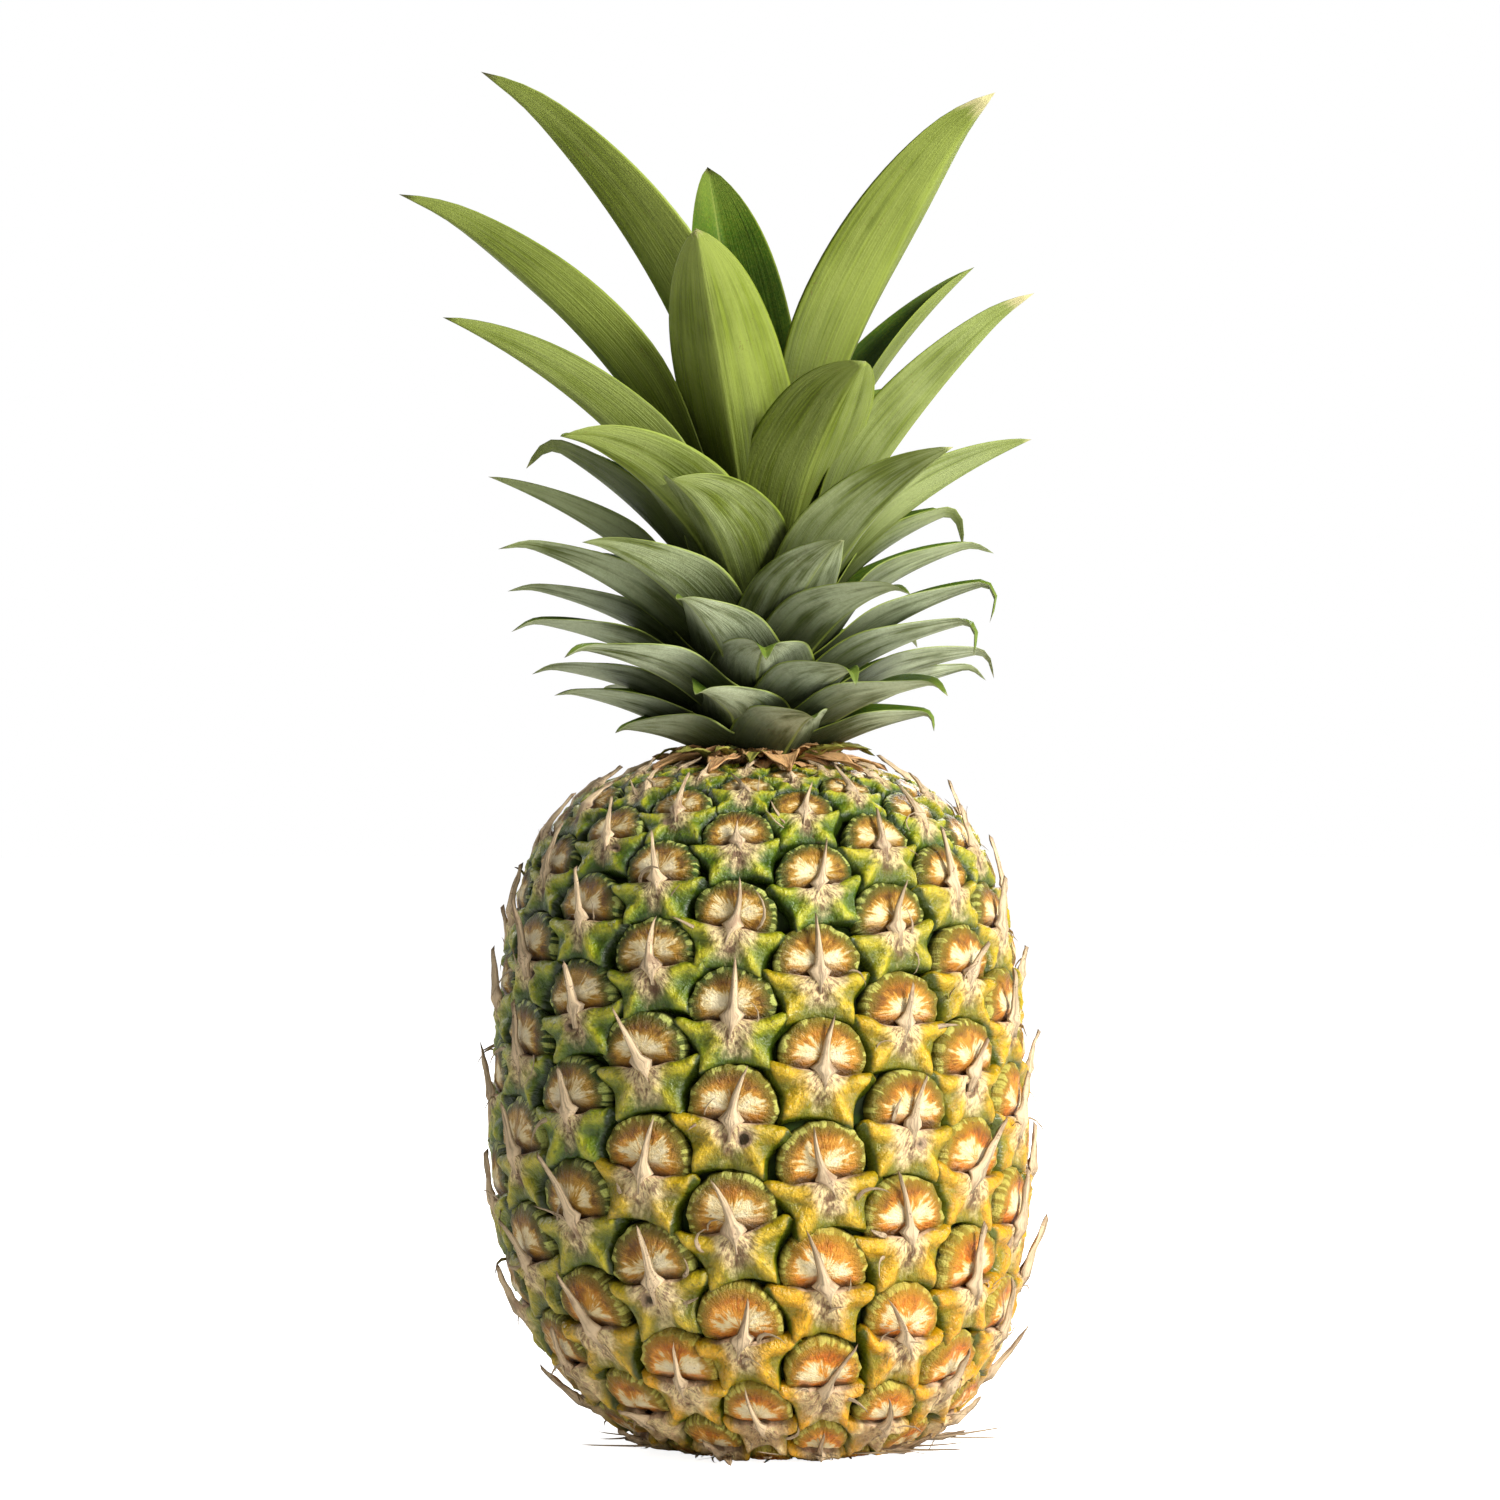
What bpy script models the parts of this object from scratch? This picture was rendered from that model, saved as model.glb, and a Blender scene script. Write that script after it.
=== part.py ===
"""Pineapple standing on its flat base.

One fused fruit with its eyes, the crown's stem, the crown's leaves and the dry bracts of the collar
between fruit and crown. Metres, +Z up, -Y to the front, origin at the centre of the base.
"""

import math
from collections import namedtuple

import bmesh
import bpy
from mathutils import Matrix, Vector

MM = 0.001
CREASE_ANGLE = math.radians(35)

# Fruit: a turned profile of two superellipse quarters that meet at the waist, cut flat at both ends.
WAIST_RADIUS = 63.0 * MM
WAIST_HEIGHT = 76.0 * MM
UPPER_REACH = 86.0 * MM
LOWER_REACH = 81.0 * MM
UPPER_POWERS = (4.2, 3.2)
LOWER_POWERS = (2.6, 2.4)
UPPER_TAPER = 0.08
PROFILE_STEPS = 400
RING_RADIUS = 1.0 * MM
BASE_CUT = 0.0
TOP_CUT = 161.2 * MM
LEAN = 5.5 * MM
LEAN_HEIGHT = 75.0 * MM

# Eyes: a spiral lattice of 9 rows one way round and 10 the other.
DIVERGENCE = math.radians(-37.9)
FIRST_EYE_ANGLE = math.radians(13.3)
FIRST_EYE_HEIGHT = 114.6 * MM
RISE_PER_EYE = 1.16 * MM
RISE_GROWTH = 2.6
NARROWEST = 0.1
NEAR_ROW = 9
FAR_ROW = 10
EYES_BELOW = 220
EYES_ABOVE = 220
GROOVE_DEPTH = 2.8 * MM
GROOVE_FADE = 22.0 * MM
PLATE_INSET = 3.2 * MM
SMALLEST_PLATE = 160 * MM**2
EYE_CROWN = 0.8 * MM

# Crown stem, a turned spindle (radius, height above its foot) in millimetres.
CROWN_FOOT = 161.6 * MM
STEM_PROFILE = ((12.5, 0.0), (12.0, 10.0), (10.0, 26.0), (7.4, 42.0), (5.0, 54.0), (2.6, 60.0))
STEM_STEPS = 20

# Blades: the leaves and bracts are thin channelled shells.
THICKNESS = 0.8 * MM
FOOT_GAP = 0.7 * MM
ACROSS = 4
ALONG = 6
SPINE_FULLNESS = 0.5
HOOK_START = 0.8
TIP_SHARE = 0.06
TIP_POWER = 3.0
TIP_ROUNDING = 0.8
FOOT_SHARE = 0.55
FOOT_LENGTH = 0.3
CHANNEL = 0.10
CLASP_LENGTH = 0.5
DEEPEST_CLASP = 0.34

# One row is one blade. angle: its heading round the axis, 0 to the right and -90 to the front.
# foot: its height on the stem. reach and rise: how far out and up its tip is. launch: how steeply it
# starts. width: its widest. hook: how far its tip bends down. In degrees and millimetres.
Blade = namedtuple("Blade", "angle foot reach rise launch width hook")
COLLAR = (
    Blade(-150, 0.6, 30, -0.6, 8, 10, 0),
    Blade(-112, 0.6, 33, -0.9, 8, 11, 0),
    Blade(-78, 0.6, 34, -0.9, 8, 12, 0),
    Blade(-42, 0.6, 33, -0.9, 8, 12, 0),
    Blade(0, 0.6, 31, -0.6, 8, 10, 0),
    Blade(60, 0.6, 31, -0.6, 8, 11, 0),
    Blade(122, 0.6, 31, -0.6, 8, 11, 0),
)
LEAVES = (
    Blade(-155, 3, 38, 9, 30, 19, 15),
    Blade(-68, 2, 34, 12, 50, 23, 10),
    Blade(-10, 3, 44, 13, 30, 16, 60),
    Blade(60, 2, 42, 12, 32, 18, 30),
    Blade(112, 3, 42, 13, 34, 19, 25),
    Blade(-168, 4.5, 50, 18, 34, 16, 10),
    Blade(-115, 7, 36, 18, 50, 24, 15),
    Blade(-35, 6, 54, 20, 34, 20, 30),
    Blade(22, 7, 60, 25, 32, 16, 30),
    Blade(150, 7, 46, 19, 34, 19, 20),
    Blade(178, 10, 55, 24, 34, 16, 15),
    Blade(-56, 10, 41, 23, 46, 22, 50),
    Blade(82, 8, 48, 22, 38, 20, 20),
    Blade(4, 11, 59, 28, 36, 17, 55),
    Blade(-145, 12, 56, 28, 38, 21, 20),
    Blade(-88, 14, 40, 28, 58, 25, 35),
    Blade(-20, 15, 58, 35, 40, 18, 75),
    Blade(125, 12, 52, 30, 42, 19, 25),
    Blade(-172, 16, 60, 35, 40, 17, 20),
    Blade(45, 14, 56, 34, 42, 19, 35),
    Blade(-115, 17, 46, 40, 57, 25, 10),
    Blade(-50, 20.5, 54, 42, 54, 23, 15),
    Blade(170, 20, 62, 44, 44, 17, 10),
    Blade(-8, 18.5, 61, 45, 46, 18, 85),
    Blade(92, 18, 56, 43, 48, 21, 25),
    Blade(-140, 26, 54, 53, 54, 23, 5),
    Blade(-66, 22.5, 47, 53, 64, 25, 5),
    Blade(-164, 22, 64, 54, 50, 18, 15),
    Blade(16, 26, 59, 55, 50, 19, 20),
    Blade(140, 23, 60, 54, 50, 19, 20),
    Blade(62, 28, 60, 60, 54, 20, 25),
    Blade(174, 30, 66, 70, 52, 18, 0),
    Blade(-112, 33, 55, 66, 66, 27, 0),
    Blade(28, 31, 59, 64, 54, 18, 65),
    Blade(-43, 30, 61, 74, 60, 25, 0),
    Blade(110, 30, 62, 78, 58, 21, 15),
    Blade(-134, 38, 66, 77, 58, 25, 5),
    Blade(6, 34, 66, 79, 56, 18, 0),
    Blade(160, 36, 60, 81, 58, 19, 45),
    Blade(-58, 41, 46, 94, 72, 27, 0),
    Blade(52, 40, 58, 96, 66, 22, 10),
    Blade(-158, 40.5, 80, 105, 62, 21.5, 0),
    Blade(-14, 37, 66, 113, 64, 22, 5),
    Blade(130, 43, 56, 103, 70, 20, 5),
    Blade(-170, 46, 86, 137, 68, 22, 5),
    Blade(36, 45, 66, 124, 70, 22, 0),
    Blade(-108, 49.5, 48, 124, 68, 26.5, 0),
    Blade(-26, 53, 60, 159, 74, 25, 5),
    Blade(108, 49.5, 42, 149, 77, 26, 0),
    Blade(-162, 58, 68, 165, 80, 24, 5),
)


def make_material(name, colour, roughness):
    """A plain Principled material."""
    finish = bpy.data.materials.new(name)
    finish.use_nodes = True
    shader = finish.node_tree.nodes["Principled BSDF"]
    shader.inputs["Base Color"].default_value = (*colour, 1.0)
    shader.inputs["Roughness"].default_value = roughness
    shader.inputs["Metallic"].default_value = 0.0
    return finish


def add_object(name, mesh, finish, collection):
    """Put a mesh in the collection as a named object with its material, shaded smooth up to creases."""
    mesh.shade_smooth()
    mesh.set_sharp_from_angle(angle=CREASE_ANGLE)
    part = bpy.data.objects.new(name, mesh)
    mesh.materials.append(finish)
    collection.objects.link(part)
    return part


def profile_point(turn):
    """Radius and height on the fruit's profile, for a turn from -90 degrees (bottom) to 90 (top)."""
    upper = turn > 0
    reach, (rise_power, round_power) = (
        (UPPER_REACH, UPPER_POWERS) if upper else (LOWER_REACH, LOWER_POWERS)
    )
    share = abs(math.sin(turn)) ** (2 / rise_power)
    radius = WAIST_RADIUS * abs(math.cos(turn)) ** (2 / round_power)
    if upper:
        radius *= 1 - UPPER_TAPER * share
    return radius, WAIST_HEIGHT + math.copysign(reach * share, turn)


def measured_profile():
    """Rows of (length along the profile, radius, height) from the bottom ring to the top ring."""
    turns = [math.pi * (step / PROFILE_STEPS - 0.5) for step in range(PROFILE_STEPS + 1)]
    points = [point for point in map(profile_point, turns) if point[0] >= RING_RADIUS]
    rows = [(0.0, *points[0])]
    for (r0, z0), (r1, z1) in zip(points, points[1:]):
        rows.append((rows[-1][0] + math.hypot(r1 - r0, z1 - z0), r1, z1))
    return rows


PROFILE = measured_profile()
PROFILE_LENGTH = PROFILE[-1][0]


def on_profile(along):
    """Radius, height and outward direction (radial, vertical) at a length along the profile."""
    index = next((i for i, row in enumerate(PROFILE) if row[0] > along), len(PROFILE) - 1)
    (s0, r0, z0), (s1, r1, z1) = PROFILE[index - 1], PROFILE[index]
    share = (along - s0) / (s1 - s0)
    outward = Vector((z1 - z0, r0 - r1)).normalized()
    return r0 + (r1 - r0) * share, z0 + (z1 - z0) * share, outward


def axis_shift(height):
    """Sideways place of the fruit's axis at a height: it leans away from the base centre."""
    share = min(max(height / LEAN_HEIGHT, 0.0), 1.0)
    return -LEAN * (1 - (1 - share) ** 2)


def skin_point(angle, along, lift):
    """A point of the fruit, lifted off its skin; angle 0 faces the front."""
    radius, height, outward = on_profile(along)
    radius += lift * outward.x
    height += lift * outward.y
    return Vector((axis_shift(height) + radius * math.sin(angle), -radius * math.cos(angle), height))


def eye_lattice():
    """Angle and length along the profile of each eye, by its number; eyes are larger lower down."""
    start = next(row[0] for row in PROFILE if row[2] >= FIRST_EYE_HEIGHT)
    eyes = {}
    for direction, count in ((1, EYES_ABOVE), (-1, EYES_BELOW)):
        along = start
        for step in range(count):
            number = direction * step
            if not 0 < along < PROFILE_LENGTH:
                break
            eyes[number] = (FIRST_EYE_ANGLE + DIVERGENCE * number, along)
            narrowing = max(on_profile(along)[0] / WAIST_RADIUS, NARROWEST) ** 0.5
            along += direction * RISE_PER_EYE * narrowing * (1 + RISE_GROWTH * (start - along))
    return eyes


def groove_corner(eyes, numbers):
    """The point of the groove that lies between three neighbouring eyes."""
    first = eyes[numbers[0]][0]
    angle = first + sum(math.remainder(eyes[n][0] - first, math.tau) for n in numbers) / 3
    along = sum(eyes[n][1] for n in numbers) / 3
    fade = min(along, PROFILE_LENGTH - along) / GROOVE_FADE
    return skin_point(angle, along, -GROOVE_DEPTH * min(fade, 1.0))


def fruit_mesh():
    """The fruit's skin: a six-sided raised plate for each eye, with grooves between them."""
    eyes = eye_lattice()
    both = NEAR_ROW + FAR_ROW
    bm = bmesh.new()
    corners = {}
    for number in eyes:
        for side, others in (("right", (NEAR_ROW, both)), ("left", (both, FAR_ROW))):
            trio = (number, number + others[0], number + others[1])
            if all(n in eyes for n in trio):
                corners[side, number] = bm.verts.new(groove_corner(eyes, trio))
    for number in eyes:
        ring = (
            ("left", number - FAR_ROW),
            ("right", number),
            ("left", number),
            ("right", number - NEAR_ROW),
            ("left", number - both),
            ("right", number - both),
        )
        if all(key in corners for key in ring):
            bm.faces.new([corners[key] for key in ring])
    bmesh.ops.delete(bm, geom=[v for v in bm.verts if not v.link_faces], context="VERTS")
    plates = [face for face in bm.faces if face.calc_area() > SMALLEST_PLATE]
    bmesh.ops.inset_individual(bm, faces=plates, thickness=PLATE_INSET, depth=GROOVE_DEPTH)
    bmesh.ops.poke(bm, faces=plates, offset=EYE_CROWN)
    for height, normal in ((BASE_CUT, (0, 0, -1)), (TOP_CUT, (0, 0, 1))):
        geometry = bm.verts[:] + bm.edges[:] + bm.faces[:]
        bmesh.ops.bisect_plane(
            bm,
            geom=geometry,
            dist=1e-6,
            plane_co=(0, 0, height),
            plane_no=normal,
            clear_outer=True,
        )
    bmesh.ops.holes_fill(bm, edges=bm.edges[:], sides=0)
    bmesh.ops.remove_doubles(bm, verts=bm.verts[:], dist=1e-5)
    bmesh.ops.recalc_face_normals(bm, faces=bm.faces[:])
    mesh = bpy.data.meshes.new("fruit")
    bm.to_mesh(mesh)
    bm.free()
    return mesh


def add_crown_stem(finish, collection):
    """The turned stem that the leaves grow from."""
    mesh = bpy.data.meshes.new("crown_stem")
    profile = [(0.0, STEM_PROFILE[-1][1]), *reversed(STEM_PROFILE), (0.0, 0.0)]
    points = [(radius * MM, 0.0, height * MM) for radius, height in profile]
    mesh.from_pydata(points, [(i, i + 1) for i in range(len(points) - 1)], [])
    stem = add_object("crown_stem", mesh, finish, collection)
    stem.location = (-LEAN, 0.0, CROWN_FOOT)
    screw = stem.modifiers.new("turn", "SCREW")
    screw.steps = STEM_STEPS
    screw.render_steps = STEM_STEPS
    screw.use_merge_vertices = True
    screw.merge_threshold = 1e-5
    screw.use_smooth_shade = True
    return stem


def stem_radius(height):
    """The crown stem's radius at a height above its foot, both in millimetres."""
    for (r0, z0), (r1, z1) in zip(STEM_PROFILE, STEM_PROFILE[1:]):
        if height <= z1:
            return r0 + (r1 - r0) * (height - z0) / (z1 - z0)
    return STEM_PROFILE[-1][0]


def ease(share):
    """A smooth step from 0 to 1."""
    share = min(max(share, 0.0), 1.0)
    return share * share * (3 - 2 * share)


def arch(foot, knee, tip, share):
    """A point on the arch that leaves the foot towards the knee and ends at the tip."""
    return foot * (1 - share) ** 2 + knee * 2 * share * (1 - share) + tip * share**2


def spine_point(blade, share):
    """Outward reach, height and direction of a blade's spine, from its foot (0) to its tip (1)."""
    launch = math.radians(blade.launch)
    foot = Vector((stem_radius(blade.foot) * MM + FOOT_GAP, blade.foot * MM))
    tip = Vector((blade.reach, blade.rise)) * MM
    knee = foot + (tip - foot).length * SPINE_FULLNESS * Vector((math.cos(launch), math.sin(launch)))
    point = arch(foot, knee, tip, share)
    heading = ((knee - foot) * (1 - share) + (tip - knee) * share).normalized()
    if share > HOOK_START:
        pivot = arch(foot, knee, tip, HOOK_START)
        turn = math.radians(blade.hook) * ease((share - HOOK_START) / (1 - HOOK_START))
        bend = Matrix.Rotation(-turn, 2)
        point = pivot + bend @ (point - pivot)
        heading = bend @ heading
    return point, heading


def blade_width(blade, share):
    """A blade's width at a share of its length: narrow at the foot, pointed at the tip."""
    taper = max((1 - share**TIP_POWER) ** TIP_ROUNDING, TIP_SHARE)
    return blade.width * MM * taper * (FOOT_SHARE + (1 - FOOT_SHARE) * ease(share / FOOT_LENGTH))


def blade_point(blade, share, side):
    """A point of a blade's middle surface; side runs from -1 to 1 across it."""
    spine, heading = spine_point(blade, share)
    width = blade_width(blade, share)
    clasp = min(width / (8 * max(spine.x, MM)), DEEPEST_CLASP)
    depth = width * (clasp + (CHANNEL - clasp) * ease(share / CLASP_LENGTH))
    inward = Vector((-heading.y, heading.x))
    sunk = spine + inward * depth * side**2
    return Vector((sunk.x, width / 2 * side, sunk.y))


def add_blade(name, blade, finish, collection):
    """A closed blade: a grid bent over the spine, then given its thickness."""
    bm = bmesh.new()
    bmesh.ops.create_grid(bm, x_segments=ALONG, y_segments=ACROSS, size=1.0)
    for vertex in bm.verts:
        vertex.co = blade_point(blade, (vertex.co.x + 1) / 2, vertex.co.y)
    mesh = bpy.data.meshes.new(name)
    bm.to_mesh(mesh)
    bm.free()
    part = add_object(name, mesh, finish, collection)
    part.location = (-LEAN, 0.0, CROWN_FOOT)
    part.rotation_euler = (0.0, 0.0, math.radians(blade.angle))
    shell = part.modifiers.new("thickness", "SOLIDIFY")
    shell.thickness = THICKNESS
    shell.offset = 0.0
    return part


def main():
    """Model the pineapple in an empty scene."""
    for old in list(bpy.data.objects):
        bpy.data.objects.remove(old)
    collection = bpy.data.collections.new("pineapple")
    bpy.context.scene.collection.children.link(collection)
    rind = make_material("rind", (0.34, 0.22, 0.06), 0.5)
    leaf_green = make_material("leaf_green", (0.17, 0.25, 0.07), 0.5)
    dry_leaf = make_material("dry_leaf", (0.50, 0.33, 0.16), 0.8)
    add_object("fruit", fruit_mesh(), rind, collection)
    add_crown_stem(leaf_green, collection)
    for number, blade in enumerate(COLLAR, 1):
        add_blade(f"collar_bract_{number:02d}", blade, dry_leaf, collection)
    for number, blade in enumerate(LEAVES, 1):
        add_blade(f"leaf_{number:02d}", blade, leaf_green, collection)


main()
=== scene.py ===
"""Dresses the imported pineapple: eyes, bracts, spikes, crown leaves, collar, base, light and camera."""

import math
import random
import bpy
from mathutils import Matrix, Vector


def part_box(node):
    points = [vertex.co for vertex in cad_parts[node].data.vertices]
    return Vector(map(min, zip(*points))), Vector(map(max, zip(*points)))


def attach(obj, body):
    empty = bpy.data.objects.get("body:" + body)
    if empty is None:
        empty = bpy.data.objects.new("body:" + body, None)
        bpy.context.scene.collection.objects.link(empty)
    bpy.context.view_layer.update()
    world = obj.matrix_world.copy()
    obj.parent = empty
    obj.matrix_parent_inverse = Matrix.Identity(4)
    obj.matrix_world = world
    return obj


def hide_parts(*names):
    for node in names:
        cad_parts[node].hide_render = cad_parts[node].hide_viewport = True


bl_info = {
    "name": "Pineapple",
    "version": (1, 0, 0),
    "blender": (4, 5, 0),
    "location": "View3D > Sidebar > Pineapple",
    "description": "Builds a whole ripe pineapple around its packed frame",
    "category": "Add Mesh",
}

from bisect import bisect_right
from collections import namedtuple

import bmesh
import bpy
from bpy.props import FloatProperty, FloatVectorProperty, IntProperty, PointerProperty
from mathutils import Matrix, Vector, noise

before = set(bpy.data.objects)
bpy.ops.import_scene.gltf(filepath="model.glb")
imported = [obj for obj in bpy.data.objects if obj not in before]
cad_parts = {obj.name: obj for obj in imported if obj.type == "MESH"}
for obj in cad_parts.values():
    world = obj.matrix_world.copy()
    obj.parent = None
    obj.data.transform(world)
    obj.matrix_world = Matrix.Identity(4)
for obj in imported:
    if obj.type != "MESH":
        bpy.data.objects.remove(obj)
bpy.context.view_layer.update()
MM = 0.001
BODY = "root"

# The fruit's and the crown's places, read from the frame.
FRUIT_LOW, FRUIT_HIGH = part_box("fruit")
STEM_LOW, STEM_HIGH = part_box("crown_stem")
CROWN_FOOT = Vector(((STEM_LOW.x + STEM_HIGH.x) / 2, (STEM_LOW.y + STEM_HIGH.y) / 2, STEM_LOW.z))
LEAN = -CROWN_FOOT.x

# The fruit's profile and its spiral of eyes, as in the part.
WAIST_RADIUS = 63.0 * MM
WAIST_HEIGHT = 76.0 * MM
UPPER_REACH = 86.0 * MM
LOWER_REACH = 81.0 * MM
UPPER_POWERS = (4.2, 3.2)
LOWER_POWERS = (2.6, 2.4)
UPPER_TAPER = 0.08
PROFILE_STEPS = 400
RING_RADIUS = 1.0 * MM
LEAN_HEIGHT = 75.0 * MM
DIVERGENCE = math.radians(-37.9)
FIRST_EYE_ANGLE = math.radians(13.3)
FIRST_EYE_HEIGHT = 114.6 * MM
RISE_PER_EYE = 1.16 * MM
RISE_GROWTH = 2.6
NARROWEST = 0.1
EYES_BELOW = 220
EYES_ABOVE = 220
COLUMNS = 19

# A full-size eye's share of the spiral: how wide and how high its cell is.
CELL_TURN = math.radians(18.95)
CELL_WIDTH = 20.8 * MM
CELL_HEIGHT = 22.0 * MM

# The eyes that show: the smallest cell that gets a bract and that gets torn strips, how far out the
# eye sits, and how low it may be. The chart is the square of skin that an eye's finish is drawn on.
SMALLEST_EYE = 8.0 * MM
SMALLEST_TORN_EYE = 10.0 * MM
INNERMOST_EYE = 18.0 * MM
LOWEST_EYE = -2.0 * MM
CHART = 40.0 * MM

STEM_PROFILE = ((12.5, 0.0), (12.0, 10.0), (10.0, 26.0), (7.4, 42.0), (5.0, 54.0), (2.6, 60.0))
FOOT_GAP = 0.7 * MM
FLOOR_GAP = 0.05 * MM

# The cut stalk's radius, and the hollow in the base that it sits in.
SCAR_RADIUS = 11.5 * MM
SCAR_EDGE = 14.0 * MM
SCAR_DEPTH = 2.8 * MM

# A spike's root reaches this far below its eye.
ROOT_LENGTH = 4.5 * MM

# The blades: how full their arch is, from where their tip hooks, and the leaves with a dry tip.
SPINE_FULLNESS = 0.5
HOOK_START = 0.85
DRY_TIPS = {43: 0.055, 48: 0.045}

# One row is one blade. angle: its heading round the axis, 0 to the right and -90 to the front.
# foot: its height on the stem. reach and rise: how far out and up its tip is. launch: how steeply it
# starts. width: its widest. hook: how far its tip bends down. In degrees and millimetres.
Blade = namedtuple("Blade", "angle foot reach rise launch width hook")
COLLAR = [
    Blade(*row)
    for row in (
        (-150, 0.6, 30, -0.6, 8, 10, 0),
        (-112, 0.6, 33, -0.9, 8, 11, 0),
        (-78, 0.6, 34, -0.9, 8, 12, 0),
        (-42, 0.6, 33, -0.9, 8, 12, 0),
        (0, 0.6, 31, -0.6, 8, 10, 0),
        (60, 0.6, 31, -0.6, 8, 11, 0),
        (122, 0.6, 31, -0.6, 8, 11, 0),
    )
]
LEAVES = [
    Blade(*row)
    for row in (
        (-155, 3, 38, 9, 30, 19, 15),
        (-68, 2, 34, 12, 50, 23, 10),
        (-10, 3, 44, 13, 30, 16, 60),
        (60, 2, 42, 12, 32, 18, 30),
        (112, 3, 42, 13, 34, 19, 25),
        (-168, 4.5, 50, 18, 34, 16, 10),
        (-115, 7, 36, 18, 50, 24, 15),
        (-35, 6, 54, 20, 34, 20, 30),
        (22, 7, 60, 25, 32, 16, 30),
        (150, 7, 46, 19, 34, 19, 20),
        (178, 10, 55, 24, 34, 16, 15),
        (-56, 10, 41, 23, 46, 22, 50),
        (82, 8, 48, 22, 38, 20, 20),
        (4, 11, 59, 28, 36, 17, 55),
        (-145, 12, 56, 28, 38, 21, 20),
        (-88, 14, 40, 28, 58, 25, 35),
        (-20, 15, 58, 35, 40, 18, 75),
        (125, 12, 52, 30, 42, 19, 25),
        (-172, 16, 60, 35, 40, 17, 20),
        (45, 14, 56, 34, 42, 19, 35),
        (-115, 17, 46, 40, 57, 25, 10),
        (-50, 20.5, 54, 42, 54, 23, 15),
        (170, 20, 62, 44, 44, 17, 10),
        (-8, 18.5, 61, 45, 46, 18, 85),
        (92, 18, 56, 43, 48, 21, 25),
        (-140, 26, 54, 53, 54, 23, 5),
        (-66, 22.5, 47, 53, 64, 25, 5),
        (-164, 22, 64, 54, 50, 18, 15),
        (16, 26, 59, 55, 50, 19, 20),
        (140, 23, 60, 54, 50, 19, 20),
        (62, 28, 60, 60, 54, 20, 25),
        (174, 30, 66, 70, 52, 18, 0),
        (-112, 33, 55, 66, 66, 27, 0),
        (28, 31, 59, 64, 54, 18, 65),
        (-43, 30, 61, 74, 60, 25, 0),
        (110, 30, 62, 78, 58, 21, 15),
        (-134, 38, 66, 77, 58, 25, 5),
        (6, 34, 66, 79, 56, 18, 0),
        (160, 36, 60, 81, 58, 19, 45),
        (-58, 41, 46, 94, 72, 27, 0),
        (52, 40, 58, 96, 66, 22, 10),
        (-158, 40.5, 80, 105, 62, 21.5, 0),
        (-14, 37, 66, 113, 64, 22, 5),
        (130, 43, 56, 103, 70, 20, 5),
        (-170, 46, 86, 137, 68, 22, 5),
        (36, 45, 66, 124, 70, 22, 0),
        (-108, 49.5, 48, 124, 68, 26.5, 0),
        (-26, 53, 60, 159, 74, 25, 5),
        (108, 49.5, 42, 149, 77, 26, 0),
        (-162, 58, 68, 165, 80, 24, 5),
    )
]


# ---------------------------------------------------------------- settings


def length(name, description, default):
    """A length setting, shown in the scene's units."""
    return FloatProperty(name=name, description=description, default=default * MM, unit="LENGTH")


def colour(name, description, red, green, blue):
    """A colour setting, in display values from 0 to 255."""
    return FloatVectorProperty(
        name=name,
        description=description,
        subtype="COLOR_GAMMA",
        size=3,
        min=0.0,
        max=1.0,
        default=(red / 255, green / 255, blue / 255),
    )


class PineappleSizes(bpy.types.PropertyGroup):
    """Sizes of the fruit's eyes and of the blades."""

    groove_depth: length("Groove depth", "How deep the grooves between the eyes are", 2.9)
    shield_width: length("Shield half width", "Half the width of an eye's shield", 11.2)
    shield_height: length("Shield half height", "Half the height of an eye's shield", 9.5)
    shield_middle: length("Shield middle", "How far a shield's middle is above its spike's root", 2.7)
    shield_dome: length("Shield dome", "How far a shield stands up", 1.4)
    bract_span: length("Bract half span", "From a bract's middle to the end of its wing", 15.0)
    bract_waist: length("Bract half waist", "Half a bract's width at its lower edge", 9.3)
    bract_drop: length("Bract drop", "From a bract's upper edge to its lower one", 11.0)
    spike_length: length("Spike length", "A bract's dry spike, at its longest", 14.5)
    spike_width: length("Spike width", "A dry spike's width at its root", 7.0)
    leaf_thickness: length("Leaf thickness", "A leaf's thickness at its middle", 1.5)
    leaf_fold: FloatProperty(
        name="Leaf fold",
        description="Depth of a leaf's channel, as a share of its width",
        default=0.36,
        subtype="FACTOR",
    )
    leaf_steps: IntProperty(name="Leaf steps", description="Faces along a leaf", default=30, min=8)


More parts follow.
